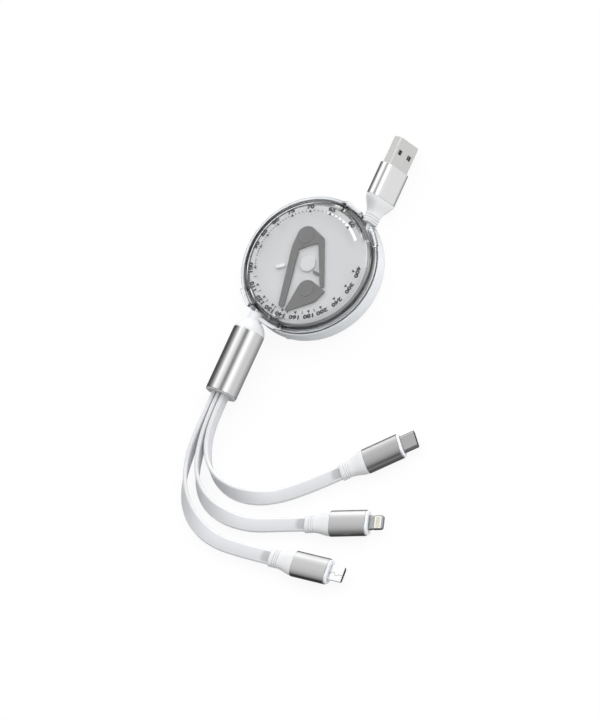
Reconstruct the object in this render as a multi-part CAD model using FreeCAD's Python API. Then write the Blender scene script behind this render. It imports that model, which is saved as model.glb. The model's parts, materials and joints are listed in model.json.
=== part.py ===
import FreeCAD, Part
import math
import os

# Retractable charging cable: a round reel with a host plug on one side and, on the other,
# a splitter with three flat tails that end in device plugs. It lies on its back on a table.
# Millimetres. +Z is up through the dial, +Y is the way the host plug points, and the origin
# is the middle of the reel's back face.

Vector = FreeCAD.Vector

# Fits
SLIP = 0.05            # between parts that locate each other
RUNNING = 0.05         # between a shaft and its bore, on the radius
PLAY = 0.15            # beside the cable in its channels
LIE_GAP = 0.1          # under a piece that lies on the table

# Reel case
REEL_RADIUS = 32.0
REEL_HEIGHT = 14.0
RIM_HEIGHT = 2.2       # clear rim above the parting line
SHELL_WALL = 1.6
SHELL_FLOOR = 1.5
SHELL_EDGE = 2.5       # round along the back edge
COVER_SETBACK = 0.2    # the cover's rim stands in from the shell
COVER_WALL = 1.5
RIM_BEVEL = 0.6
LENS_RISE = 3.0        # lens above the shoulder
LENS_INSET = 2.4       # lens wall in from the shell's outside
LENS_ROUND = 2.4
LENS_GAP = 0.65        # under the lens, above the dial's bosses
LIP_WALL = 0.7
LIP_DEPTH = 1.0
GROOVE_DEPTH = 0.35    # fine step between the rim and the shoulder
GROOVE_WIDTH = 0.5
GUARD_RISE = 0.9       # clear blocks beside each cable mouth
GUARD_BULGE = 0.5
GUARD_WIDTH = 2.2
GUARD_ROUND = 0.6
GUARD_NEAR = 8.0       # degrees from the mouth's middle
GUARD_FAR = 25.0
MOUTH_PLAY = 0.5       # around what enters a mouth
MOUTH_REACH = 3.2      # how far a mouth is cut in from the case's inside
SCREW_ANGLES = (81.6, 269.8)
SCREW_INSET = 1.7      # screws in from the shell's outside
SCREW_BOSS = 1.6
SCREW_SHANK = 0.5
SCREW_HEAD = 0.95
SCREW_HEAD_HEIGHT = 0.7
SCREW_LENGTH = 6.5
BOSS_RISE = 0.9        # cover boss above the shoulder

# Spool and what turns with it
POST_RADIUS = 3.0
SPOOL_LIFT = 0.4       # under the spool
FLANGE_GAP = 0.5       # between the flanges and the lens wall
WEB = 0.8
HUB_RADIUS = 8.8
HUB_WALL = 1.2
ANCHOR_SLOT = 1.9
SPRING_CASE_WALL = 1.0
DIAL_THICKNESS = 0.75
DIAL_SPIGOT_DEPTH = 1.5
DIAL_SPIGOT_WALL = 0.8
HUB_CAP_RADIUS = 3.7
HUB_CAP_HEIGHT = 0.9
HUB_CAP_STEM = 1.2
HUB_CAP_STEM_DEPTH = 5.0
ROLL_ROOM = 5.6        # flange beyond the roll
LEAD_GAP = 0.3

# Power spring
SPRING_STRIP = 0.4
SPRING_PITCH = 1.5
SPRING_PLAY = 0.25

# Lock: a steel ball in a radial cage, under a ring track on the spool
BALL_HEADROOM = 0.85   # above the ball, under the spool's web
LOCK_ANGLE = 150.0
LOCK_INSET = 3.0       # ball in from the flange's edge
LOCK_TRAVEL = 0.6      # each way along the cage
CAGE_RISE = 0.2        # cage above the ball's middle
CAGE_WALL = 1.2
CAGE_GAP = 1.6         # between the cage and the spring case
TRACK_WALL = 0.5
TRACK_PLAY = 0.3
TRACK_LIFT = 0.3       # between cage and track

# Plates on the dial: an arched lever and a teardrop cam
PLATE_THICKNESS = 1.1
PLATE_BOSS_RISE = 0.35
LEVER_HEAD = (-6.0, 11.5)
LEVER_HEAD_RADIUS = 4.6
LEVER_BOSS_RADIUS = 3.4
LEVER_ELBOW = (-8.8, 5.5)
LEVER_ELBOW_RADIUS = 1.8
LEVER_TIP = (-3.4, -20.6)
LEVER_TIP_RADIUS = 1.4
LEVER_SHOULDER = (1.3, 12.0)
LEVER_SHOULDER_RADIUS = 1.3
LEVER_FOOT = (10.9, -7.2)
LEVER_FOOT_RADIUS = 1.0
CAM_BOSS = (5.0, -11.2)
CAM_RADIUS = 4.5
CAM_BOSS_RADIUS = 3.1
CAM_TIP = (-0.1, -22.3)
CAM_TIP_RADIUS = 0.6
CAM_BULGE = (8.6, -13.2)
CAM_BULGE_RADIUS = 2.9
CAM_HORN = (12.8, -9.6)
CAM_HORN_RADIUS = 0.5
LINK_START = (4.7, -2.6)
LINK_END = (6.9, -3.0)
LINK_RADIUS = 0.6
PAWL_START = (-12.9, -5.3)
PAWL_END = (-10.6, -4.0)
PAWL_RADIUS = 0.8

# Wound cable
LEAD_WIDTH = 4.2
LEAD_THICKNESS = 1.3
LEAD_CHAMFER = 0.26
LEAD_TURN_BACK = 2.2   # from the boot back to the bend in the mouth

# Host plug
HOST_X = 17.4
HOST_ROLL = 18.7       # degrees from standing on edge
HOST_INSET = 0.5       # boot's start inside the case's outline
HOST_BOOT_LENGTH = 11.5
HOST_NECK_WIDTH = 7.6
HOST_NECK_THICKNESS = 4.4
HOST_NECK_LENGTH = 4.1
HOST_SLEEVE_LENGTH = 15.0
HOST_SLEEVE_WIDTH = 15.6
HOST_SLEEVE_THICKNESS = 7.2
HOST_SHELL_WIDTH = 12.0
HOST_SHELL_THICKNESS = 4.5
HOST_SHELL_REACH = 13.0
HOST_SHELL_WALL = 0.3
HOST_SHELL_CORNER = 0.5
HOST_SHELL_SEAT = 8.0
HOST_WINDOW = 2.2
HOST_WINDOW_SPACING = 6.0
HOST_WINDOW_FROM_TIP = 6.2
HOST_TONGUE_THICKNESS = 1.9
HOST_TONGUE_SETBACK = 0.8
HOST_CONTACT_COUNT = 4
HOST_CONTACT_PITCH = 2.5
HOST_CONTACT_WIDTH = 1.1
HOST_CONTACT_LENGTH = 7.0
HOST_CONTACT_RISE = 0.12
HOST_CORE_RECESS = 0.4

# Splitter
SPLITTER_X = -14.8
SPLITTER_RADIUS = 7.1
SPLITTER_WALL = 0.7
SPLITTER_INSET = 1.3   # cap's start inside the case's outline
SPLITTER_CAP_LENGTH = 9.0
SPLITTER_NECK_RADIUS = 3.4
SPLITTER_NECK_LENGTH = 3.6
SPLITTER_DOME_MID = 6.05    # radius half-way along the dome
SPLITTER_CAP_STEP = 0.15   # dome inside the sleeve's outline
SPLITTER_LENGTH = 29.6
SPLITTER_END = 0.5
SPLITTER_END_STEP = 0.25
SPIGOT = 3.0
SPLICE_WIDTH = 8.0
SPLICE_THICKNESS = 1.0

# Tails and their plugs
TAIL_WIDTH = 6.5
TAIL_THICKNESS = 1.8
TAIL_CHAMFER = 0.5
TAIL_PITCH = 2.3
EDGE_UNTIL = 0.22      # share of the length that stands on edge
FLAT_FROM = 0.72       # share of the length after which it lies flat
BOOT_LENGTH = 11.9
NECK_WIDTH = 7.8
NECK_THICKNESS = 4.0
NECK_LENGTH = 4.4
SLEEVE_LENGTH = 16.5
SLEEVE_WIDTH = 11.5
SLEEVE_THICKNESS = 6.2
SLEEVE_WALL = 0.6
BOOT_STEP = 0.15       # boot inside the sleeve's outline
RIB_COUNT = 3
RIB_GROOVE = 0.55
RIB_DEPTH = 0.3
RIB_PITCH = 1.2
COLLAR_LENGTH = 1.1
COLLAR_STEP = 0.3
COLLAR_BEVEL = 0.4
SHELL_SEAT = 5.0       # metal plug held in the core
PLUG_SHEET = 0.25
INSERT_SETBACK = 0.4

TYPE_C_WIDTH = 8.25
TYPE_C_THICKNESS = 2.4
TYPE_C_REACH = 6.65
TYPE_C_SLOT_WIDTH = 6.5
TYPE_C_SLOT_HEIGHT = 0.9
TYPE_C_SLOT_DEPTH = 5.2
TYPE_C_CONTACTS = 12
TYPE_C_CONTACT_PITCH = 0.48
TYPE_C_CONTACT_WIDTH = 0.25
TYPE_C_CONTACT_RISE = 0.1

TAB_WIDTH = 6.7
TAB_THICKNESS = 1.5
TAB_REACH = 6.7
TAB_TIP_ROUND = 1.3
TAB_INSERT_WIDTH = 5.4
TAB_INSERT_LENGTH = 3.2
TAB_INSERT_FROM_TIP = 0.8
TAB_INSERT_DEPTH = 0.3
TAB_CONTACTS = 8
TAB_CONTACT_PITCH = 0.58
TAB_CONTACT_WIDTH = 0.36
TAB_CONTACT_LENGTH = 1.7
TAB_CONTACT_RISE = 0.05
TAB_NOTCH = 0.35       # latch notch in each edge
TAB_NOTCH_FROM_TIP = 4.6

MICRO_WIDTH = 6.85
MICRO_THICKNESS = 1.85
MICRO_REACH = 6.6
MICRO_BEVEL = 0.8      # slanted lower corners
MICRO_TONGUE_WIDTH = 4.6
MICRO_TONGUE_THICKNESS = 0.6
MICRO_TONGUE_SETBACK = 0.6
MICRO_HOOK_SPACING = 4.0
MICRO_HOOK_WIDTH = 0.8
MICRO_HOOK_LENGTH = 1.4
MICRO_HOOK_RISE = 0.25
MICRO_HOOK_FROM_TIP = 2.2
MICRO_CONTACTS = 5
MICRO_CONTACT_PITCH = 0.65
MICRO_CONTACT_WIDTH = 0.35
MICRO_CONTACT_RISE = 0.1

# Where each tail plug's boot starts, and the way the plug points, in degrees from +X
PLUG_PLACES = {
    "type_c": ((53.3, -80.8), 43.0),
    "tab": ((47.9, -107.1), 19.0),
    "micro": ((39.1, -125.9), 5.0),
}
# Each tail's place in the splitter's row, in pitches from its middle
TAIL_ROW = {"type_c": 1, "tab": 0, "micro": -1}
# Middle of each tail's route (x, y, z); the straight runs at both ends are worked out
TAIL_ROUTES = {
    "type_c": [(-11.2, -88.7, 5.6), (-7.1, -96.7, 4.6), (0.4, -102.7, 3.8), (12.2, -105.0, 3.0),
               (27.8, -101.3, 2.6)],
    "tab": [(-13.5, -92.1, 5.6), (-10.1, -103.8, 4.6), (-1.6, -112.5, 3.8), (10.1, -115.9, 3.0),
            (23.1, -115.5, 2.6)],
    "micro": [(-17.4, -96.6, 5.4), (-13.2, -111.5, 4.4), (-3.7, -121.8, 3.5), (10.0, -127.2, 2.7)],
}
TAIL_FIRST_RUN = 12.5
TAIL_LAST_RUN = 12.0
ARC_SHARE = 0.45       # of the shorter run beside a corner, taken by its arc
ARC_STEP = 8.0         # degrees between sections along an arc

# Heights and radii that follow from the sizes above
COVER_RADIUS = REEL_RADIUS - COVER_SETBACK
INNER_RADIUS = REEL_RADIUS - SHELL_WALL
LENS_FOOT_RADIUS = REEL_RADIUS - LENS_INSET
LENS_FLOOR = REEL_HEIGHT - COVER_WALL
SHOULDER_HEIGHT = REEL_HEIGHT - LENS_RISE
SHELL_HEIGHT = SHOULDER_HEIGHT - RIM_HEIGHT
SCREW_RADIUS = REEL_RADIUS - SCREW_INSET
FLANGE_RADIUS = LENS_FOOT_RADIUS - COVER_WALL - FLANGE_GAP
ROLL_RADIUS = FLANGE_RADIUS - ROLL_ROOM
PLATE_TOP = LENS_FLOOR - LENS_GAP - PLATE_BOSS_RISE
DIAL_TOP = PLATE_TOP - PLATE_THICKNESS
CHAMBER_TOP = DIAL_TOP - DIAL_THICKNESS
EXIT_HEIGHT = CHAMBER_TOP - PLAY - LEAD_WIDTH / 2
CHAMBER_FLOOR = EXIT_HEIGHT - LEAD_WIDTH / 2 - PLAY
WEB_FLOOR = CHAMBER_FLOOR - WEB
SPOOL_FLOOR = SHELL_FLOOR + SPOOL_LIFT
POST_TOP = DIAL_TOP - SLIP
BALL_RADIUS = (WEB_FLOOR - SHELL_FLOOR - BALL_HEADROOM) / 2
CAGE_HEIGHT = BALL_RADIUS + CAGE_RISE
LOCK_RADIUS = FLANGE_RADIUS - LOCK_INSET
SPRING_CASE_RADIUS = LOCK_RADIUS - BALL_RADIUS - LOCK_TRAVEL - CAGE_WALL - CAGE_GAP
HOST_BOOT_Y = math.sqrt(REEL_RADIUS**2 - HOST_X**2) - HOST_INSET
HOST_LEAN = (HOST_SLEEVE_WIDTH - HOST_SLEEVE_THICKNESS) / 2 * math.cos(math.radians(HOST_ROLL))
HOST_HEIGHT = HOST_LEAN + HOST_SLEEVE_THICKNESS / 2 + LIE_GAP
SPLITTER_HEIGHT = SPLITTER_RADIUS + LIE_GAP
SPLITTER_CAP_Y = SPLITTER_INSET - math.sqrt(REEL_RADIUS**2 - SPLITTER_X**2)
SPLITTER_SLEEVE_Y = SPLITTER_CAP_Y - SPLITTER_CAP_LENGTH
SPLITTER_FACE_Y = SPLITTER_SLEEVE_Y - SPLITTER_LENGTH - SPLITTER_END
PLUG_HEIGHT = SLEEVE_THICKNESS / 2 + LIE_GAP
LEAD_RADIUS = ROLL_RADIUS + LEAD_GAP + LEAD_THICKNESS / 2
FAR = 4 * REEL_RADIUS

parts = {}


def revolved(edges, middle=Vector(0, 0, 0), axis=Vector(0, 0, 1)):
    """Solid turned from a closed half-section."""
    return Part.Face(Part.Wire(edges)).revolve(middle, axis, 360)


def polyline(points):
    """Edges along points given as (radius, height)."""
    corners = [Vector(r, 0, z) for r, z in points]
    return [Part.LineSegment(a, b).toShape() for a, b in zip(corners, corners[1:])]


def arc(start, middle, end):
    """Arc edge in the half-section through three (radius, height) points."""
    points = [Vector(r, 0, z) for r, z in (start, middle, end)]
    return Part.Arc(*points).toShape()


def quarter(middle, radius, start):
    """Quarter round about a middle point, counter-clockwise from a start angle in degrees."""
    points = []
    for step in (0, 45, 90):
        angle = math.radians(start + step)
        points.append((middle[0] + radius * math.cos(angle), middle[1] + radius * math.sin(angle)))
    return arc(*points)


def ring(inner, outer, bottom, top):
    """Plain ring about +Z."""
    base = Vector(0, 0, bottom)
    return Part.makeCylinder(outer, top - bottom, base).cut(Part.makeCylinder(inner, top - bottom, base))


def polar(radius, degrees, height=0.0):
    """Point at a radius and angle about +Z."""
    angle = math.radians(degrees)
    return Vector(radius * math.cos(angle), radius * math.sin(angle), height)


def ring_block(inner, outer, start, end, bottom, top):
    """Part of a ring between two angles in degrees."""
    half = (start + end) / 2
    edges = [
        Part.LineSegment(polar(inner, start), polar(outer, start)).toShape(),
        Part.Arc(polar(outer, start), polar(outer, half), polar(outer, end)).toShape(),
        Part.LineSegment(polar(outer, end), polar(inner, end)).toShape(),
        Part.Arc(polar(inner, end), polar(inner, half), polar(inner, start)).toShape(),
    ]
    face = Part.Face(Part.Wire(edges))
    face.translate(Vector(0, 0, bottom))
    return face.extrude(Vector(0, 0, top - bottom))


def block(low, high):
    """Box between two corners."""
    size = [b - a for a, b in zip(low, high)]
    return Part.makeBox(size[0], size[1], size[2], Vector(*low))


def tapered_plate(start, start_radius, end, end_radius, bottom, top):
    """Flat plate around two discs of different radii, joined by their outer tangents."""
    a = Vector(start[0], start[1], bottom)
    b = Vector(end[0], end[1], bottom)
    way = math.atan2(b.y - a.y, b.x - a.x)
    lean = math.acos((start_radius - end_radius) / a.distanceToPoint(b))

    def on(middle, radius, angle):
        return middle + Vector(radius * math.cos(angle), radius * math.sin(angle), 0)

    a_left, a_right = on(a, start_radius, way + lean), on(a, start_radius, way - lean)
    b_left, b_right = on(b, end_radius, way + lean), on(b, end_radius, way - lean)
    edges = [
        Part.LineSegment(b_left, a_left).toShape(),
        Part.Arc(a_left, on(a, start_radius, way + math.pi), a_right).toShape(),
        Part.LineSegment(a_right, b_right).toShape(),
        Part.Arc(b_right, on(b, end_radius, way), b_left).toShape(),
    ]
    return Part.Face(Part.Wire(edges)).extrude(Vector(0, 0, top - bottom))


def fused(shapes):
    """One clean solid from overlapping solids."""
    return shapes[0].multiFuse(shapes[1:]).removeSplitter()


def obround(width, thickness, x):
    """Rounded flat section across the plug's axis, width along Y."""
    r = thickness / 2
    y = width / 2 - r
    points = [(-y, -r), (y, -r), (y + r, 0), (y, r), (-y, r), (-y - r, 0)]
    p = [Vector(x, a, b) for a, b in points]
    return Part.Wire([
        Part.LineSegment(p[0], p[1]).toShape(),
        Part.Arc(p[1], p[2], p[3]).toShape(),
        Part.LineSegment(p[3], p[4]).toShape(),
        Part.Arc(p[4], p[5], p[0]).toShape(),
    ])


def obround_bar(width, thickness, start, end):
    """Straight bar of obround section along the plug's axis."""
    return Part.Face(obround(width, thickness, start)).extrude(Vector(end - start, 0, 0))


def rounded_bar(width, thickness, corner, start, end):
    """Straight bar of rectangular section with rounded long edges."""
    bar = block((start, -width / 2, -thickness / 2), (end, width / 2, thickness / 2))
    along = [e for e in bar.Edges if abs(e.tangentAt(e.FirstParameter).x) > 0.99]
    return bar.makeFillet(corner, along)


def tube(outer, inner, start, end):
    """Sleeve from two obround sections given as (width, thickness)."""
    return obround_bar(*outer, start, end).cut(obround_bar(*inner, start, end))


def rib_grooves(width, thickness, first):
    """Rings that cut the ribs into a boot's neck."""
    grooves = []
    for index in range(RIB_COUNT):
        x = first + index * RIB_PITCH
        outer = obround_bar(2 * width, 2 * thickness, x, x + RIB_GROOVE)
        inner = obround_bar(width - 2 * RIB_DEPTH, thickness - 2 * RIB_DEPTH, x, x + RIB_GROOVE)
        grooves.append(outer.cut(inner))
    return grooves


def boot_body(neck, neck_length, end, length):
    """Soft boot: a straight ribbed neck that flares to the sleeve's outline."""
    flare = length - neck_length
    sections = []
    for share in (0.0, 0.2, 0.4, 0.6, 0.8, 1.0):
        rise = share * share * (3 - 2 * share)
        width = neck[0] + (end[0] - neck[0]) * rise
        thickness = neck[1] + (end[1] - neck[1]) * rise
        sections.append(obround(width, thickness, neck_length + flare * share))
    body = obround_bar(*neck, 0.0, neck_length).fuse(Part.makeLoft(sections, True, True))
    first = (neck_length - (RIB_COUNT - 1) * RIB_PITCH - RIB_GROOVE) / 2
    return body.cut(rib_grooves(*neck, first))


def sleeve_inside(width, thickness, wall):
    """Section inside a sleeve, less the slip that lets a plug body slide in."""
    return width - 2 * wall - 2 * SLIP, thickness - 2 * wall - 2 * SLIP


def contact_row(count, pitch, width, x_range, z_range):
    """Flat contacts side by side across the plug."""
    row = []
    for index in range(count):
        y = (index - (count - 1) / 2) * pitch
        row.append(block((x_range[0], y - width / 2, z_range[0]), (x_range[1], y + width / 2, z_range[1])))
    return row


def rounded_route(points):
    """Places and directions along straight runs joined by the largest tangent arcs."""
    places = [(points[0], (points[1] - points[0]).normalize())]
    radii = []
    for before, corner, after in zip(points, points[1:], points[2:]):
        way_in = (corner - before).normalize()
        way_out = (after - corner).normalize()
        turn = way_in.getAngle(way_out)
        reach = ARC_SHARE * min(before.distanceToPoint(corner), corner.distanceToPoint(after))
        radius = reach / math.tan(turn / 2)
        radii.append(radius)
        inward = (way_out - way_in).normalize()
        middle = corner + inward * (radius / math.cos(turn / 2))
        steps = max(3, math.ceil(math.degrees(turn) / ARC_STEP))
        axis = way_in.cross(way_out)
        for step in range(steps + 1):
            turned = FreeCAD.Rotation(axis, math.degrees(turn) * step / steps)
            arm = corner - way_in * reach - middle
            places.append((middle + turned.multVec(arm), turned.multVec(way_in)))
    places.append((points[-1], (points[-1] - points[-2]).normalize()))
    return places, radii


def edge_to_flat(share):
    """Roll of a tail in degrees: on edge at the splitter, flat at the plug."""
    t = min(max((share - EDGE_UNTIL) / (FLAT_FROM - EDGE_UNTIL), 0.0), 1.0)
    return 90.0 * (1 - t * t * (3 - 2 * t))


def on_edge(share):
    """Roll of a lead in degrees: on edge all the way."""
    return 90.0


def ribbon(name, points, width, thickness, chamfer, roll_at):
    """Flat cable along a route, with its section rolled along the way."""
    places, radii = rounded_route(points)
    steps = [a[0].distanceToPoint(b[0]) for a, b in zip(places, places[1:])]
    total = sum(steps)
    gone = 0.0
    sections = []
    for (place, way), step in zip(places, steps + [0.0]):
        side = Vector(0, 0, 1).cross(way).normalize()
        roll = FreeCAD.Rotation(way, roll_at(gone / total))
        across = roll.multVec(side)
        over = way.cross(across)
        w, t = width / 2, thickness / 2
        outline = [(-w, -t + chamfer), (-w + chamfer, -t), (w - chamfer, -t), (w, -t + chamfer),
                   (w, t - chamfer), (w - chamfer, t), (-w + chamfer, t), (-w, t - chamfer)]
        corners = [place + across * a + over * b for a, b in outline]
        sections.append(Part.makePolygon(corners + corners[:1]))
        gone += step
    solid = Part.makeLoft(sections, True, True)
    area = width * thickness - 2 * chamfer * chamfer
    print(name, "length", round(total, 1), "radii", [round(r, 1) for r in radii],
          "volume over section times length", round(solid.Volume / (area * total), 3))
    return solid


def mouth_cuts():
    """Openings through wall and rim where the host boot and the splitter's cap come out."""
    roll = math.radians(HOST_ROLL)
    host_arm = (HOST_NECK_WIDTH - HOST_NECK_THICKNESS) / 2
    host_half = HOST_NECK_THICKNESS / 2 + host_arm * math.sin(roll) + MOUTH_PLAY
    host_floor = HOST_HEIGHT - HOST_NECK_THICKNESS / 2 - host_arm * math.cos(roll) - MOUTH_PLAY
    split_half = SPLITTER_NECK_RADIUS + MOUTH_PLAY
    split_floor = SPLITTER_HEIGHT - SPLITTER_NECK_RADIUS - MOUTH_PLAY
    inside = INNER_RADIUS - MOUTH_REACH
    top = SHOULDER_HEIGHT + SLIP
    host = block((HOST_X - host_half, math.sqrt(inside**2 - HOST_X**2) - COVER_WALL, host_floor),
                 (HOST_X + host_half, 2 * REEL_RADIUS, top))
    split = block((SPLITTER_X - split_half, -2 * REEL_RADIUS, split_floor),
                  (SPLITTER_X + split_half, -math.sqrt(inside**2 - SPLITTER_X**2) + COVER_WALL, top))
    return [host, split]


def mouth_angles():
    """Directions of the two mouths about +Z, in degrees."""
    host = math.degrees(math.acos(HOST_X / REEL_RADIUS))
    split = 360 - math.degrees(math.acos(SPLITTER_X / REEL_RADIUS))
    return host, split


def make_back_shell():
    rabbet_floor = SHELL_HEIGHT - LIP_DEPTH - SLIP
    rabbet_radius = INNER_RADIUS + LIP_WALL - COVER_SETBACK + SLIP
    section = polyline([(0, SHELL_FLOOR), (0, 0), (REEL_RADIUS - SHELL_EDGE, 0)])
    section.append(quarter((REEL_RADIUS - SHELL_EDGE, SHELL_EDGE), SHELL_EDGE, -90))
    section += polyline([(REEL_RADIUS, SHELL_EDGE), (REEL_RADIUS, SHELL_HEIGHT),
                         (rabbet_radius, SHELL_HEIGHT), (rabbet_radius, rabbet_floor),
                         (INNER_RADIUS, rabbet_floor), (INNER_RADIUS, SHELL_FLOOR), (0, SHELL_FLOOR)])
    pieces = [revolved(section), Part.makeCylinder(POST_RADIUS, POST_TOP)]
    column_top = SHELL_HEIGHT - LIP_DEPTH - SLIP
    for angle in SCREW_ANGLES:
        pieces.append(Part.makeCylinder(SCREW_BOSS, column_top, polar(SCREW_RADIUS, angle)))
    cage = block((LOCK_RADIUS - BALL_RADIUS - LOCK_TRAVEL - CAGE_WALL, -BALL_RADIUS - CAGE_WALL, 0),
                 (LOCK_RADIUS + BALL_RADIUS + LOCK_TRAVEL + CAGE_WALL, BALL_RADIUS + CAGE_WALL,
                  SHELL_FLOOR + CAGE_HEIGHT))
    cage.rotate(Vector(0, 0, 0), Vector(0, 0, 1), LOCK_ANGLE)
    shell = fused(pieces + [cage])
    reach = LOCK_TRAVEL + SLIP
    slot = tapered_plate((LOCK_RADIUS - reach, 0), BALL_RADIUS + SLIP, (LOCK_RADIUS + reach, 0),
                         BALL_RADIUS + SLIP, SHELL_FLOOR, SHELL_FLOOR + 2 * CAGE_HEIGHT)
    slot.rotate(Vector(0, 0, 0), Vector(0, 0, 1), LOCK_ANGLE)
    stem_floor = POST_TOP - HUB_CAP_STEM_DEPTH - SLIP
    cuts = mouth_cuts() + [slot, Part.makeCylinder(HUB_CAP_STEM + SLIP, FAR, Vector(0, 0, stem_floor))]
    for angle in SCREW_ANGLES:
        tip = screw_top() - SCREW_LENGTH - SLIP
        cuts.append(Part.makeCylinder(SCREW_SHANK + SLIP, FAR, polar(SCREW_RADIUS, angle, tip)))
    parts["back_shell"] = shell.cut(cuts)


def screw_top():
    """Height of the screw heads' tops, flush with the cover's bosses."""
    return SHOULDER_HEIGHT + BOSS_RISE


def make_front_cover():
    lip_outer = INNER_RADIUS + LIP_WALL - COVER_SETBACK
    lip_inner = INNER_RADIUS - COVER_SETBACK
    lip_floor = SHELL_HEIGHT - LIP_DEPTH
    shoulder_floor = SHOULDER_HEIGHT - COVER_WALL
    lens_inner = LENS_FOOT_RADIUS - COVER_WALL
    bevel_in = LENS_ROUND - COVER_WALL / 2
    step_in = LENS_FOOT_RADIUS + GROOVE_WIDTH
    section = polyline([(0, REEL_HEIGHT), (0, LENS_FLOOR), (lens_inner - bevel_in, LENS_FLOOR),
                        (lens_inner, LENS_FLOOR - bevel_in), (lens_inner, shoulder_floor),
                        (lip_inner, shoulder_floor), (lip_inner, lip_floor), (lip_outer, lip_floor),
                        (lip_outer, SHELL_HEIGHT), (COVER_RADIUS, SHELL_HEIGHT),
                        (COVER_RADIUS, SHOULDER_HEIGHT - RIM_BEVEL),
                        (COVER_RADIUS - RIM_BEVEL, SHOULDER_HEIGHT), (step_in, SHOULDER_HEIGHT),
                        (step_in, SHOULDER_HEIGHT - GROOVE_DEPTH),
                        (LENS_FOOT_RADIUS, SHOULDER_HEIGHT - GROOVE_DEPTH),
                        (LENS_FOOT_RADIUS, REEL_HEIGHT - LENS_ROUND)])
    section.append(quarter((LENS_FOOT_RADIUS - LENS_ROUND, REEL_HEIGHT - LENS_ROUND), LENS_ROUND, 0))
    section += polyline([(LENS_FOOT_RADIUS - LENS_ROUND, REEL_HEIGHT), (0, REEL_HEIGHT)])
    pieces = [revolved(section)]
    low = SHOULDER_HEIGHT - COVER_WALL
    for middle in mouth_angles():
        for side in (-1, 1):
            start, end = sorted((middle + side * GUARD_NEAR, middle + side * GUARD_FAR))
            outer = COVER_RADIUS + GUARD_BULGE
            guard = ring_block(outer - GUARD_WIDTH, outer, start, end, low, SHOULDER_HEIGHT + GUARD_RISE)
            upright = [e for e in guard.Edges if abs(e.tangentAt(e.FirstParameter).z) > 0.99]
            pieces.append(guard.makeFillet(GUARD_ROUND, upright))
    for angle in SCREW_ANGLES:
        pieces.append(Part.makeCylinder(SCREW_BOSS, screw_top() - low, polar(SCREW_RADIUS, angle, low)))
    cover = fused(pieces)
    cuts = mouth_cuts()
    for angle in SCREW_ANGLES:
        cuts.append(Part.makeCylinder(SCREW_SHANK + SLIP, FAR, polar(SCREW_RADIUS, angle)))
        seat = screw_top() - SCREW_HEAD_HEIGHT - SLIP
        cuts.append(Part.makeCylinder(SCREW_HEAD + SLIP, FAR, polar(SCREW_RADIUS, angle, seat)))
    parts["front_cover"] = cover.cut(cuts)


def make_case_screws():
    screws = []
    for angle in SCREW_ANGLES:
        head_base = polar(SCREW_RADIUS, angle, screw_top() - SCREW_HEAD_HEIGHT)
        shank_base = polar(SCREW_RADIUS, angle, screw_top() - SCREW_LENGTH)
        head = Part.makeCylinder(SCREW_HEAD, SCREW_HEAD_HEIGHT, head_base)
        shank = Part.makeCylinder(SCREW_SHANK, SCREW_LENGTH, shank_base)
        screws.append(fused([head, shank]))
    parts["case_screws"] = Part.makeCompound(screws)


def make_spool():
    bore = POST_RADIUS + RUNNING
    track_middle = LOCK_TRAVEL + BALL_RADIUS + TRACK_PLAY
    track_floor = SHELL_FLOOR + CAGE_HEIGHT + TRACK_LIFT
    groove_roof = SHELL_FLOOR + 2 * BALL_RADIUS + TRACK_PLAY
    body = fused([
        ring(bore, FLANGE_RADIUS, WEB_FLOOR, CHAMBER_FLOOR),
        ring(bore, HUB_RADIUS, WEB_FLOOR, CHAMBER_TOP),
        ring(bore, bore + HUB_WALL, SPOOL_FLOOR, CHAMBER_TOP),
        ring(SPRING_CASE_RADIUS - SPRING_CASE_WALL, SPRING_CASE_RADIUS, SPOOL_FLOOR, CHAMBER_FLOOR),
        ring(LOCK_RADIUS - track_middle - TRACK_WALL, LOCK_RADIUS + track_middle + TRACK_WALL,
             track_floor, CHAMBER_FLOOR),
    ])
    slots = []
    for angle in (0, 180):
        y = HUB_RADIUS - HUB_WALL - ANCHOR_SLOT
        slot = block((0, y, CHAMBER_FLOOR), (HUB_RADIUS, y + ANCHOR_SLOT, CHAMBER_TOP))
        slot.rotate(Vector(0, 0, 0), Vector(0, 0, 1), angle)
        slots.append(slot)
    pocket = ring(bore + HUB_WALL, HUB_RADIUS - HUB_WALL, CHAMBER_FLOOR, CHAMBER_TOP)
    groove = ring(LOCK_RADIUS - track_middle, LOCK_RADIUS + track_middle, SPOOL_FLOOR, groove_roof)
    parts["spool"] = body.cut([pocket, groove] + slots)


def make_dial_plate():
    bore = POST_RADIUS + RUNNING
    plate = ring(bore, FLANGE_RADIUS, CHAMBER_TOP, DIAL_TOP)
    spigot_outer = HUB_RADIUS - HUB_WALL - SLIP
    spigot = ring(spigot_outer - DIAL_SPIGOT_WALL, spigot_outer, CHAMBER_TOP - DIAL_SPIGOT_DEPTH, DIAL_TOP)
    parts["dial_plate"] = fused([plate, spigot])


def make_hub_cap():
    floor = DIAL_TOP + SLIP
    crown = HUB_CAP_HEIGHT / 2
    section = polyline([(0, floor + HUB_CAP_HEIGHT), (0, POST_TOP - HUB_CAP_STEM_DEPTH),
                        (HUB_CAP_STEM, POST_TOP - HUB_CAP_STEM_DEPTH), (HUB_CAP_STEM, floor),
                        (HUB_CAP_RADIUS, floor), (HUB_CAP_RADIUS, floor + HUB_CAP_HEIGHT - crown)])
    section.append(quarter((HUB_CAP_RADIUS - crown, floor + HUB_CAP_HEIGHT - crown), crown, 0))
    section += polyline([(HUB_CAP_RADIUS - crown, floor + HUB_CAP_HEIGHT), (0, floor + HUB_CAP_HEIGHT)])
    parts["hub_cap"] = revolved(section)


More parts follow.
